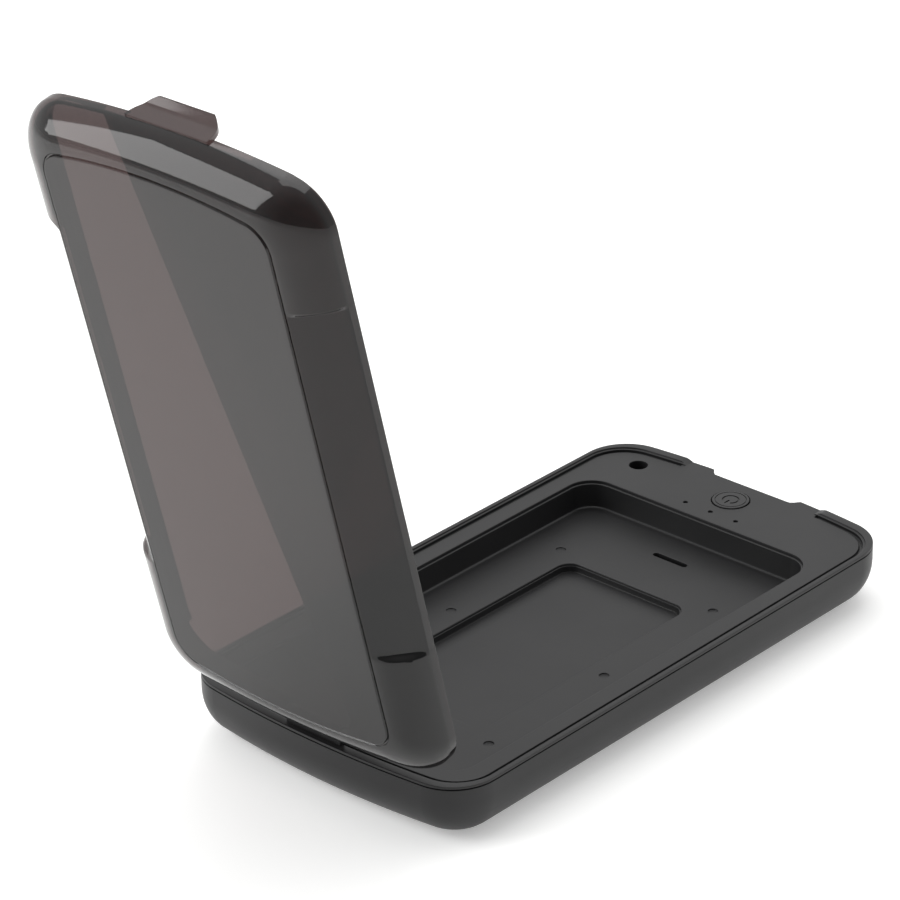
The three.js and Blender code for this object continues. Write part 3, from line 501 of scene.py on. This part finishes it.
def makeTub():
    top = tubHigh.z
    steps = tub["steps"]
    outer = []
    inner = []
    for i in range(steps + 1):
        angle = math.pi / 2 * (1 - i / steps)
        inward = tub["run"] * (1 - math.cos(angle))
        within = tub["wall"] + (tub["run"] - tub["wall"]) * (1 - math.cos(angle))
        above = tub["floor"] + (tub["rise"] - tub["floor"]) * (1 - math.sin(angle))
        outer.append((inward, inward, tub["rise"] * (1 - math.sin(angle))))
        inner.append((within, within, above))
    edge = tub["edge"]
    outer += [(0, 0, top - edge), (0.3 * edge, 0.3 * edge, top - 0.3 * edge), (edge, edge, top)]
    inner.append((tub["wall"], tub["wall"], top + 1))
    shell = loft("tub", caseLoop, outer)
    backing = loft("backing", caseLoop, [(0.5, 0.5, tub["floor"]), (0.5, 0.5, top - 1)])
    reach = scoop["halfWidth"] + scoop["backing"]
    back = frontEdge + scoop["depth"] + scoop["backing"]
    combine(backing, "INTERSECT", block("zone", -reach, reach, frontEdge - 1, back, tub["floor"] + 2, top))
    combine(shell, "DIFFERENCE", loft("hollow", caseLoop, inner))
    additions = [backing]
    for x, y, _ in screwSpots:
        additions.append(post("boss", x, y, (screw["boss"], 0.5), (screw["boss"], screw["bossTop"])))
    for x, y, _ in footSpots:
        additions.append(post("seat", x, y, (pad["seat"], 0.5), (pad["seat"], pad["seatTop"])))
    combine(shell, "UNION", *additions)
    wide = plainFront["halfWidth"] + plainFront["tuck"] + case["gap"]
    parting = deckTop - 1 - case["gap"]
    removals = [
        scoopCutter(rimTop),
        block("lowered", -wide, wide, frontEdge - 1, frontEdge + plainFront["reach"], parting, top + 1),
    ]
    socketLow, socketHigh = boxOf("power_socket")
    _, middleY, middleZ = middleOf("power_socket")

    # drawn lying flat, then turned to look out of the side wall
    def mouth(bm, grow, depth):
        halfY = (socketHigh.y - socketLow.y) / 2 + case["gap"] + grow
        halfZ = (socketHigh.z - socketLow.z) / 2 + case["gap"] + grow
        return roundedLoop(bm, -halfZ, halfZ, -halfY, halfY, halfZ - 0.05, depth)

    socketHole = loft("socket hole", mouth, [(0, -6), (0, -0.35), (0.1, -0.1), (0.35, 0), (0.4, 1)])
    turn = Matrix.Translation((case["halfX"], middleY, middleZ)) @ Matrix.Rotation(math.pi / 2, 4, "Y")
    socketHole.data.transform(turn)
    removals.append(socketHole)
    shank, head, recess = screw["shank"], screw["head"], pad["recess"]
    headLevels = [(head + 0.35, -1), (head + 0.35, 0), (head + 0.1, 0.1), (head, 0.35), (head, screw["headDepth"])]
    recessLevels = [(recess + 0.3, -1), (recess + 0.3, 0), (recess + 0.1, 0.08), (recess, 0.3)]
    recessLevels.append((recess, pad["recessDepth"]))
    for x, y, _ in screwSpots:
        removals.append(post("shank", x, y, (shank, 1), (shank, 4)))
        removals.append(post("head", x, y, *headLevels))
    for x, y, _ in footSpots:
        removals.append(post("recess", x, y, *recessLevels))
    combine(shell, "DIFFERENCE", *removals)
    finishPiece(shell, blackAbs, "base", ["bottom_tub"])
    print("tub made")


# The cover is one moulding: rim, groove, deck, tray, pocket, tool well and the hinge's lug.
cover = {
    "flange": 1,  # height of the rim's outer edge
    "rim": 1.7,
    "setback": 1.5,  # the groove sits further in at the short ends
    "grooveWidth": 2,
    "grooveDepth": 1.9,
    "thickness": 1.8,
    "skirtDepth": 2.2,  # reaches down inside the tub's wall
    "skirt": 1.2,
    "seatWall": 0.35,  # joins the flange to the seat below the groove
    "lampHole": 0.85,
}
well = {
    "radius": 3.25,
    "wall": 1,
    "bevel": 0.65,  # round the floor
    "sink": 0.3,  # the floor lies lower than the well's open space
}
slot = {
    "back": 15.8,  # from the tray's front edge
    "halfLength": 7.2,
    "halfWidth": 1.15,
}
hingeFit = {
    "lug": 11.7,  # half the width of the cover's lug
    "radius": 2,
    "bore": 1.1,
    "gap": 0.6,  # between the lug and a knuckle
    "knuckle": 8.2,
    "pinRun": 7.4,  # how far the pin's hole goes into a knuckle
}


def makeCover():
    back = cover["setback"]
    seat = tub["wall"] + case["gap"]
    flangeFoot = rimTop - cover["flange"]
    grooveFloor = rimTop - cover["grooveDepth"]
    under = deckTop - cover["thickness"]
    rim = cover["rim"]
    inner = rim + cover["grooveWidth"]
    skirtIn = seat + cover["skirt"]
    ledge = seat + cover["seatWall"]  # the groove's outer wall lower down
    levels = [
        (skirtIn, skirtIn, under),
        (skirtIn, skirtIn, under - cover["skirtDepth"]),
        (seat, seat, under - cover["skirtDepth"] + 0.02),
        (seat, seat, flangeFoot),
        (0.15, 0.15, flangeFoot + 0.02),
        (0, 0, flangeFoot + 0.15),
        (0, 0, rimTop - 0.35),
        (0.1, 0.1, rimTop - 0.1),
        (0.35, 0.35, rimTop),
        (rim - 0.3, rim - 0.3 + back, rimTop - 0.01),
        (rim - 0.08, rim - 0.08 + back, rimTop - 0.09),
        (rim, rim + back, rimTop - 0.3),
        (rim + 0.05, rim + 0.05 + back, flangeFoot + 0.45),
        (ledge - 0.05, ledge - 0.05 + back, flangeFoot + 0.3),
        (ledge, ledge + back, grooveFloor + 0.2),
        (ledge + 0.2, ledge + 0.2 + back, grooveFloor),
        (inner - 0.3, inner - 0.3 + back, grooveFloor + 0.01),
        (inner - 0.05, inner - 0.05 + back, grooveFloor + 0.3),
        (inner, inner + back, deckTop - 0.25),
        (inner + 0.08, inner + 0.08 + back, deckTop - 0.07),
        (inner + 0.25, inner + 0.25 + back, deckTop),
    ]
    whole = loft("cover", caseLoop, levels)

    # the plain stretch over the scoop: the rim is cut away and a plate closes the groove
    half = plainFront["halfWidth"]
    wide = half + plainFront["tuck"]
    reach = frontEdge + plainFront["reach"]

    def frontGap(bm, wider, z):
        return roundedLoop(bm, -half - wider, half + wider, frontEdge - 5, reach, 0.5, z, 2)

    combine(whole, "DIFFERENCE", loft("front", frontGap, [(0, deckTop - 0.02), (0.4, deckTop + 0.1), (3, rimTop)]))
    plateLevels = [(0.1, 0.1, deckTop - 1), (0, 0, deckTop - 0.9), (0, 0, deckTop - 0.35)]
    plateLevels += [(0.1, 0.1, deckTop - 0.1), (0.35, 0.35, deckTop)]
    plate = loft("front plate", caseLoop, plateLevels)
    fill = loft("front fill", caseLoop, [(seat, seat, under), (seat, seat, deckTop)])
    for part in (plate, fill):
        combine(part, "INTERSECT", block("zone", -wide, wide, frontEdge - 1, reach, 0, rimTop))

    def trayLoop(bm, grow, z, hollow=tray):
        x = hollow["x"] + grow
        return roundedLoop(bm, -x, x, hollow["front"] - grow, hollow["rear"] + grow, hollow["corner"] + grow, z)

    def pocketLoop(bm, grow, z):
        return trayLoop(bm, grow, z, pocket)

    pocketTop = trayTop - pocket["depth"]
    wall = tray["wall"]
    additions = [
        plate,
        fill,
        loft("tray outside", trayLoop, [(wall, trayTop - tray["floor"]), (wall, deckTop - 0.3)]),
        loft("pocket outside", pocketLoop, [(wall, pocketTop - pocket["floor"]), (wall, trayTop - 0.3)]),
    ]
    wellX = (wellLow.x + wellHigh.x) / 2
    wellY = (wellLow.y + wellHigh.y) / 2
    wellFloor = wellLow.z - well["sink"]
    wellIn = well["radius"]
    wellOut = wellIn + well["wall"]
    additions.append(post("well outside", wellX, wellY, (wellOut, wellFloor - well["wall"]), (wellOut, under + 0.5)))
    postFoot = screw["bossTop"] + case["gap"]
    for x, y, _ in screwSpots:
        additions.append(post("post", x, y, (screw["post"], postFoot), (screw["post"], trayTop - 1)))
    lug = hingeFit["lug"]
    web = lug - 0.2
    additions.append(bar("lug", -lug, lug, hinge.y, hinge.z, hingeFit["radius"], 0.35))
    additions.append(block("lug web", -web, web, hinge.y - 1, hinge.y + 1, grooveFloor - 0.5, hinge.z))
    combine(whole, "UNION", *additions)

    slotY = tray["front"] + slot["back"]

    def slotLoop(bm, grow, z):
        x, y = slot["halfLength"] + grow, slot["halfWidth"] + grow
        return roundedLoop(bm, -x, x, slotY - y, slotY + y, y - 0.02, z)

    wellLevels = [
        (wellIn - well["bevel"], wellFloor),
        (wellIn, wellFloor + well["bevel"]),
        (wellIn, deckTop - 0.35),
        (wellIn + 0.1, deckTop - 0.1),
        (wellIn + 0.35, deckTop),
        (wellIn + 0.45, rimTop),
    ]
    removals = [
        loft(
            "tray inside",
            trayLoop,
            [
                (-2.8, trayTop),
                (-2.2, trayTop + 0.1),
                (-1.8, trayTop + 0.4),
                (-1.62, trayTop + 0.9),
                (-1.05, deckTop - 1.45),
                (-0.95, deckTop - 1.25),
                (-0.75, deckTop - 1.15),
                (-0.4, deckTop - 1.1),
                (-0.35, deckTop - 0.4),
                (-0.25, deckTop - 0.12),
                (0, deckTop),
                (0.05, rimTop + 1),
            ],
        ),
        loft(
            "pocket inside",
            pocketLoop,
            [
                (-1.6, pocketTop),
                (-1, pocketTop + 0.15),
                (-0.8, pocketTop + 0.5),
                (-0.75, trayTop - 0.95),
                (-0.65, trayTop - 0.8),
                (-0.3, trayTop - 0.75),
                (-0.25, trayTop - 0.3),
                (-0.15, trayTop - 0.1),
                (0, trayTop),
                (0.05, trayTop + 1),
            ],
        ),
        scoopCutter(deckTop),
        # room for the wall behind the scoop
        block(
            "behind scoop",
            -scoop["halfWidth"] - scoop["backing"] - case["gap"],
            scoop["halfWidth"] + scoop["backing"] + case["gap"],
            frontEdge - 1,
            frontEdge + scoop["depth"] + scoop["backing"] + case["gap"],
            under - cover["skirtDepth"] - 1,
            deckTop - 1,
        ),
        post("well", wellX, wellY, *wellLevels),
        bar("lug bore", -lug - 0.3, lug + 0.3, hinge.y, hinge.z, hingeFit["bore"]),
    ]
    hole = powerCap["radius"] + case["gap"]
    holeLevels = [(hole, under - 1), (hole, deckTop - 0.2), (hole + 0.06, deckTop - 0.06)]
    holeLevels += [(hole + 0.2, deckTop), (hole + 0.3, rimTop)]
    removals.append(post("button hole", 0, middleOf("power_button")[1], *holeLevels, steps=72))
    lamp = cover["lampHole"]
    lampLevels = [(lamp, under - 1), (lamp, deckTop - 0.15), (lamp + 0.15, deckTop), (lamp + 0.25, rimTop)]
    for i in (1, 2, 3):
        x, y, _ = middleOf(f"status_led_{i}")
        removals.append(post("lamp hole", x, y, *lampLevels))
    slotLevels = [(0, trayTop - 3), (0, trayTop - 0.2), (0.05, trayTop - 0.05), (0.2, trayTop), (0.3, trayTop + 1)]
    removals.append(loft("slot", slotLoop, slotLevels))
    dimple = screw["dimple"]
    dimpleLevels = [
        (dimple - 0.8, trayTop - screw["dimpleDepth"]),
        (dimple - 0.4, trayTop - screw["dimpleDepth"] + 0.1),
        (dimple - 0.25, trayTop - 0.12),
        (dimple, trayTop),
        (dimple + 0.1, trayTop + 1),
    ]
    for x, y, _ in screwSpots:
        removals.append(post("screw hole", x, y, (screw["shank"], 3), (screw["shank"], screw["holeTop"])))
        removals.append(post("dimple", x, y, *dimpleLevels))
    combine(whole, "DIFFERENCE", *removals)
    finishPiece(whole, blackAbs, "base", ["top_cover"])
    print("cover made")


# The lid is drawn shut and swung open by the joint's own angle at the end.
lid = {
    "rise": 14.2,
    "wall": 1.6,
    "sideInset": 0.6,  # from the case's edge
    "endInset": 2.1,
    "upright": 3,  # plain height before the wall curves in
    "panelSide": 14.3,  # the flat panel's edges, from the case's edge
    "panelFront": 11.7,
    "panelRear": 14.2,
    "panelRaise": 0.4,
    "cornerLoss": 7,  # the corners tighten towards the panel
    "fullness": 1.7,  # 2 would be an ellipse
    "lip": 0.8,
    "lipGap": 0.2,
    "lipDepth": 1.6,
    "gripFront": 42.5,  # the grip's ends, from the case's ends
    "gripRear": 54.5,
    "gripCrease": 2.4,  # length of the step at each end of the grip
    "gripShare": 0.8,  # 1 presses the bulge quite flat
    "steps": 16,
}


# The curve of the lid's wall: share 0 is at its foot, share 1 at the panel's edge; depth goes into the wall.
def wallCurve(share, depth):
    angle = share * math.pi / 2
    inward = 1 - math.cos(angle) ** (2 / lid["fullness"])
    upward = math.sin(angle) ** (2 / lid["fullness"])
    height = rimTop + lid["upright"] + (lid["rise"] - lid["upright"]) * upward - depth * math.sin(angle)
    return inward, upward, height


# One level of the lid's wall, at its own height on the curve unless z is given.
def lidLoop(bm, share, depth, z=None, extra=0.0):
    inward, _, height = wallCurve(share, depth)
    level = depth * math.cos(share * math.pi / 2) + extra
    side = lid["sideInset"] + (lid["panelSide"] - lid["sideInset"]) * inward + level
    front = lid["endInset"] + (lid["panelFront"] - lid["endInset"]) * inward + level
    rear = lid["endInset"] + (lid["panelRear"] - lid["endInset"]) * inward + level
    radius = case["corner"] - lid["sideInset"] - lid["cornerLoss"] * inward - depth - extra
    return caseLoop(bm, side, (front + rear) / 2, height if z is None else z, radius, (front - rear) / 2)


# Between the grip's ends the bulging side walls are pressed nearly flat, which leaves a short crease at each end.
def pressGrips(skin, depth):
    front, rear = frontEdge + lid["gripFront"], case["halfY"] - lid["gripRear"]
    crease = lid["gripCrease"]
    pressed = []
    for i in range(lid["steps"] + 1):
        inward, upward, height = wallCurve(i / lid["steps"], depth)
        pressed.append((height, lid["gripShare"] * (lid["panelSide"] - lid["sideInset"]) * (upward - inward)))
    bm = bmesh.new()
    bm.from_mesh(skin.data)
    cuts = [front + crease * k / 4 for k in range(5)] + [rear - crease * k / 4 for k in range(5)]
    for y in cuts:
        everything = bm.verts[:] + bm.edges[:] + bm.faces[:]
        bmesh.ops.bisect_plane(bm, geom=everything, plane_co=(0, y, 0), plane_no=(0, 1, 0), dist=1e-4)
    for vert in bm.verts:
        x, y, z = vert.co
        if abs(x) > case["halfX"] - lid["panelSide"] - depth and front <= y <= rear:
            along = min(min(y - front, rear - y) / crease, 1)
            step = 0
            for (z0, deep0), (z1, deep1) in zip(pressed, pressed[1:]):
                if z0 <= z <= z1:
                    step = deep0 + (deep1 - deep0) * (z - z0) / (z1 - z0)
            vert.co.x -= math.copysign(step * along**2 * (3 - 2 * along), x)
    bm.to_mesh(skin.data)
    bm.free()


tab = {
    "drop": 6.9,  # from the rim's top to the tip
    "thickness": 1.5,
    "kick": 1.9,  # the tip turns out
    "kickRise": 3.3,
    "width": 34,
    "rootHalf": 16.4,
    "tipHalf": 12.4,
}


# The pull tab hangs into the scoop: its side profile, trimmed by its outline as seen from the front.
def pullTab():
    inner = frontEdge + scoop["depth"] - case["gap"]
    outer = inner - tab["thickness"]
    kick = tab["kick"]
    end = rimTop - tab["drop"]
    profile = bmesh.new()
    corners = [(inner, rimTop + 3), (outer, rimTop + 3), (outer, end + tab["kickRise"] + 0.3)]
    corners += [(outer - kick, end + 0.1), (inner - kick + 0.1, end), (inner, end + tab["kickRise"])]
    face = profile.faces.new([profile.verts.new((-tab["width"] / 2, y, z)) for y, z in corners])
    roundCorners(profile, [face.verts[i] for i in (2, 5)], 0.7, 4)
    roundCorners(profile, [vert for vert in profile.verts if vert.co.z < end + 0.2], 0.45, 4)
    strip = pushOut("tab", profile, (tab["width"], 0, 0))

    plan = bmesh.new()
    root, tip = tab["rootHalf"], tab["tipHalf"]
    outline = [(-root, rimTop + 5), (-root, rimTop), (-tip, end - 1)]
    outline += [(tip, end - 1), (root, rimTop), (root, rimTop + 5)]
    plan.faces.new([plan.verts.new((x, inner - 8, z)) for x, z in outline])
    roundCorners(plan, [vert for vert in plan.verts if abs(vert.co.z - rimTop) < 0.01], 2.5, 6)
    roundCorners(plan, [vert for vert in plan.verts if vert.co.z < end], 6, 12)
    return combine(strip, "INTERSECT", pushOut("tab plan", plan, (0, 16, 0)))


def makeLid():
    foot = rimTop + case["gap"]
    panelTop = rimTop + lid["rise"]
    steps = lid["steps"]
    raised = lid["panelRaise"]
    outer = [(0, 0.3, foot), (0, 0.08, foot + 0.08), (0, 0, foot + 0.3)]
    outer += [(i / steps, 0) for i in range(steps + 1)]
    # a fine groove and a step run round the panel
    outer += [
        (1, 0, panelTop - 0.28, 0.25),
        (1, 0, panelTop - 0.35, 0.6),
        (1, 0, panelTop + raised - 0.1, 0.9),
        (1, 0, panelTop + raised, 1.2),
    ]
    inner = [(0, lid["wall"], foot - 1)] + [(i / steps, lid["wall"]) for i in range(steps + 1)]
    inner.append((1, lid["wall"], panelTop - lid["wall"] + raised - 0.1, 0.9))
    outside = loft("lid", lidLoop, outer)
    inside = loft("lid inside", lidLoop, inner)
    pressGrips(outside, 0)
    pressGrips(inside, lid["wall"])
    shell = combine(outside, "DIFFERENCE", inside)

    # the lip goes down into the cover's groove, except at the hinge and over the plain front
    lipIn = tub["wall"] + case["gap"] + cover["seatWall"] + lid["lipGap"]
    lipOut = lipIn + lid["lip"]
    back = cover["setback"]
    low = rimTop - lid["lipDepth"]
    lip = loft(
        "lip",
        caseLoop,
        [
            (lipIn + 0.3, lipIn + back + 0.3, low),
            (lipIn, lipIn + back, low + 0.3),
            (lipIn, lipIn + back, foot + 0.2),
        ],
    )
    shelf = loft("shelf", lidLoop, [(0, 0.2, foot), (0, 0.2, foot + 1.2)])
    hole = loft("lip inside", caseLoop, [(lipOut, lipOut + back, low - 1), (lipOut, lipOut + back, foot + 3)])
    wide = plainFront["halfWidth"] + plainFront["tuck"] + case["gap"]
    past = case["halfX"] + 1
    rearZone = block("rear", -past, past, case["halfY"] - case["corner"], case["halfY"] + 1, low - 1, foot)
    frontZone = block("front", -wide, wide, frontEdge - 1, frontEdge + plainFront["reach"] + 0.3, low - 1, foot)
    combine(lip, "DIFFERENCE", rearZone, frontZone)
    combine(lip, "UNION", shelf)
    combine(lip, "DIFFERENCE", hole)
    combine(shell, "UNION", lip, pullTab())

    side = hingeFit["lug"] + hingeFit["gap"]
    notchTop = hinge.z + hingeFit["radius"] + hingeFit["gap"]
    notch = block("notch", -side, side, hinge.y - 6, case["halfY"] + 1, rimTop - 1, notchTop)
    combine(shell, "DIFFERENCE", notch)
    far = side + hingeFit["knuckle"]
    spans = [(-far, -side), (side, far)]
    knuckles = [bar("knuckle", *span, hinge.y, hinge.z, hingeFit["radius"], 0.3) for span in spans]
    combine(shell, "UNION", *knuckles)
    pinEnd = side + hingeFit["pinRun"]
    combine(shell, "DIFFERENCE", bar("pin hole", -pinEnd, pinEnd, hinge.y, hinge.z, hingeFit["bore"]))
    swing = Matrix.Translation(hinge) @ Matrix.Rotation(-openAngle, 4, "X") @ Matrix.Translation(-hinge)
    shell.data.transform(swing)
    finishPiece(shell, lidMaterial, "lid", ["lid"])
    print("lid made")


# A band that follows an arc, with round ends.
def arcBand(bm, centre, radius, half, start, arc, z):
    def at(r, angle):
        return (centre[0] + r * math.cos(angle), centre[1] + r * math.sin(angle))

    end = start + arc
    arcs = [
        (at(radius + half, start), centre, arc, 40),
        (at(radius + half, end), at(radius, end), math.pi, 8),
        (at(radius - half, end), centre, -arc, 40),
        (at(radius - half, start), at(radius, start), math.pi, 8),
    ]
    return arcLoop(bm, arcs, z)


# The button is a flush cap with a moulded ring and a power mark.
powerCap = {
    "radius": 6.5,
    "collar": 7.7,  # the wider foot that keeps it in its hole
    "collarHeight": 0.9,
    "ringOut": 5.55,
    "ringIn": 5.25,
    "markRadius": 2.75,
    "markHalf": 0.3,  # half the width of the mark's lines
    "markArc": math.radians(282),
    "strokeFoot": 0.7,  # the mark's upright, from the button's middle
    "strokeTop": 3.4,
    "markDepth": 0.3,
    "steps": 96,
}


def makeButton():
    y = middleOf("power_button")[1]
    top = boxOf("power_button")[1].z
    collarTop = deckTop - cover["thickness"] - case["gap"]
    cut = top - powerCap["markDepth"]
    steps = powerCap["steps"]
    radius = powerCap["radius"]
    levels = [
        (powerCap["collar"], collarTop - powerCap["collarHeight"]),
        (powerCap["collar"], collarTop),
        (radius, collarTop),
        (radius, top - 0.35),
        (radius - 0.1, top - 0.1),
        (radius - 0.35, top),
    ]
    cap = post("button", 0, y, *levels, steps=steps)

    def markLoop(bm, grow, z):
        arc = powerCap["markArc"]
        start = math.pi / 2 + (2 * math.pi - arc) / 2
        return arcBand(bm, (0, y), powerCap["markRadius"], powerCap["markHalf"] + grow, start, arc, z)

    def strokeLoop(bm, grow, z):
        half = powerCap["markHalf"] + grow
        foot, tip = y + powerCap["strokeFoot"] - grow, y + powerCap["strokeTop"] + grow
        return roundedLoop(bm, -half, half, foot, tip, half - 0.02, z, 4)

    ringOut, ringIn = powerCap["ringOut"], powerCap["ringIn"]
    ring = combine(
        post("ring", 0, y, (ringOut, cut), (ringOut + 0.05, top + 1), steps=steps),
        "DIFFERENCE",
        post("ring inside", 0, y, (ringIn, top - 1), (ringIn - 0.05, top + 2), steps=steps),
    )
    mark = loft("mark", markLoop, [(0, cut), (0.04, top + 1)])
    stroke = loft("stroke", strokeLoop, [(0, cut), (0.04, top + 1)])
    combine(cap, "DIFFERENCE", ring, mark, stroke)
    finishPiece(cap, capAbs, "button", ["power_button"])
    print("button made")


def makeFeet():
    for i, (x, y, _) in enumerate(footSpots, 1):
        low, high = boxOf(f"foot_{i}")
        radius = pad["radius"]
        levels = [
            (radius - 0.7, low.z),
            (radius - 0.3, low.z + 0.06),
            (radius - 0.07, low.z + 0.3),
            (radius, low.z + 0.6),
            (radius, high.z),
        ]
        foot = post(f"foot_{i}_pad", x, y, *levels, steps=48)
        finishPiece(foot, footRubber, "base", [f"foot_{i}"])
    print("feet made")


makeTub()
makeCover()
makeLid()
makeButton()
makeFeet()

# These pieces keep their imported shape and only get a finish.
keptLooks = {
    "hinge_pin": zincSteel,
    "power_socket": zincSteel,
    "tact_switch": filledEpoxy,
    # the light guide's near-black colour is painted shade for the lamps' holes
    "light_guide": holeShadeAcrylic,
    "control_board": solderMask,
    "choke": sinteredFerrite,
    "power_transistor": filledEpoxy,
    "controller_chip": filledEpoxy,
    "coil_former": undyedNylon,
    "coil_winding": enamelWire,
    "well_winding": enamelWire,
    **{f"status_led_{i}": lampResin for i in (1, 2, 3)},
    **{f"storage_capacitor_{i}": shrinkSleeve for i in (1, 2)},
    **{f"coil_lead_{i}": pvcInsulation for i in (1, 2)},
    **{f"case_screw_{i}": zincSteel for i in range(1, 7)},
    **{f"board_screw_{i}": zincSteel for i in (1, 2)},
}
for name, look in keptLooks.items():
    for materialSlot in frame["nodes"][name].material_slots:
        materialSlot.material = look
print("kept pieces finished")

stage = {
    "floorSize": 6.0,
    "world": 1.0,
    "dim": 0.3,  # the world's strength on its dimmer side
    "dimSide": (-0.68, 0.73, 0),
}
softboxes = {
    "top softbox": {"place": (0.2, -0.3, 1.5), "aim": (0, 0, 0), "size": (1.2, 1.2), "power": 8},
    "lid softbox": {"place": (0.75, 0.95, 0.72), "aim": (0, 0.15, 0.2), "size": (0.8, 0.9), "power": 9},
}


def makeStage():
    bm = bmesh.new()
    bmesh.ops.create_grid(bm, x_segments=1, y_segments=1, size=stage["floorSize"] / 2)
    bmesh.ops.translate(bm, verts=bm.verts, vec=(0, 0, -case["footDepth"] / perMetre))
    floor = objectFrom("floor", bm)
    # A light table: white paper with a little light of its own, so that the shadow stays faint.
    lit = {"IOR": 1.45, "Emission Color": (1, 1, 1, 1), "Emission Strength": 0.3}
    floor.data.materials.append(surface("matt paper floor", ("#f1f1f0", "#f4f4f3"), (0.85, 0.9), 2, 200, 0.01, lit))
    # The studio is white behind the case and dimmer in front of it.
    world = bpy.data.worlds.new("studio")
    world.use_nodes = True
    tree = world.node_tree
    tree.nodes.clear()
    look = addNode(tree, "ShaderNodeTexCoord").outputs["Generated"]
    front = addNode(
        tree, "ShaderNodeVectorMath", {"operation": "DOT_PRODUCT", 1: stage["dimSide"]}, {0: look}
    )
    bright = addNode(
        tree,
        "ShaderNodeMapRange",
        {"From Min": -0.1, "From Max": 0.8, "To Min": stage["world"], "To Max": stage["dim"]},
        {"Value": front.outputs["Value"]},
    )
    white = addNode(tree, "ShaderNodeBackground", {"Color": (1, 1, 1, 1)}, {"Strength": bright.outputs["Result"]})
    addNode(tree, "ShaderNodeOutputWorld", None, {"Surface": white.outputs["Background"]})
    bpy.context.scene.world = world


def addSoftbox(name, place, aim, size, power):
    light = bpy.data.lights.new(name, "AREA")
    light.shape = "RECTANGLE"
    light.size, light.size_y = size
    light.energy = power
    lamp = bpy.data.objects.new(name, light)
    bpy.context.scene.collection.objects.link(lamp)
    lamp.location = place
    lamp.rotation_euler = (Vector(aim) - Vector(place)).to_track_quat("-Z", "Y").to_euler()


view = {
    "azimuth": math.radians(222.64),
    "elevation": math.radians(26.89),
    "roll": math.radians(-1.1),
    "distance": 1.42752,
    "target": (0.09822, -0.06164, rimTop / perMetre),
    "lens": 161.5,
}


def makeCamera():
    azimuth, elevation = view["azimuth"], view["elevation"]
    level = math.cos(elevation)
    back = Vector((math.sin(azimuth) * level, -math.cos(azimuth) * level, math.sin(elevation)))
    data = bpy.data.cameras.new("camera")
    data.lens = view["lens"]
    data.sensor_width = 36
    data.clip_end = 50
    camera = bpy.data.objects.new("camera", data)
    bpy.context.scene.collection.objects.link(camera)
    camera.location = Vector(view["target"]) + back * view["distance"]
    turn = back.to_track_quat("Z", "Y") @ Matrix.Rotation(view["roll"], 4, "Z").to_quaternion()
    camera.rotation_euler = turn.to_euler()
    bpy.context.scene.camera = camera


bpy.context.scene.view_settings.view_transform = "Standard"
makeStage()
for name, softbox in softboxes.items():
    addSoftbox(name, **softbox)
makeCamera()
print("stage made")
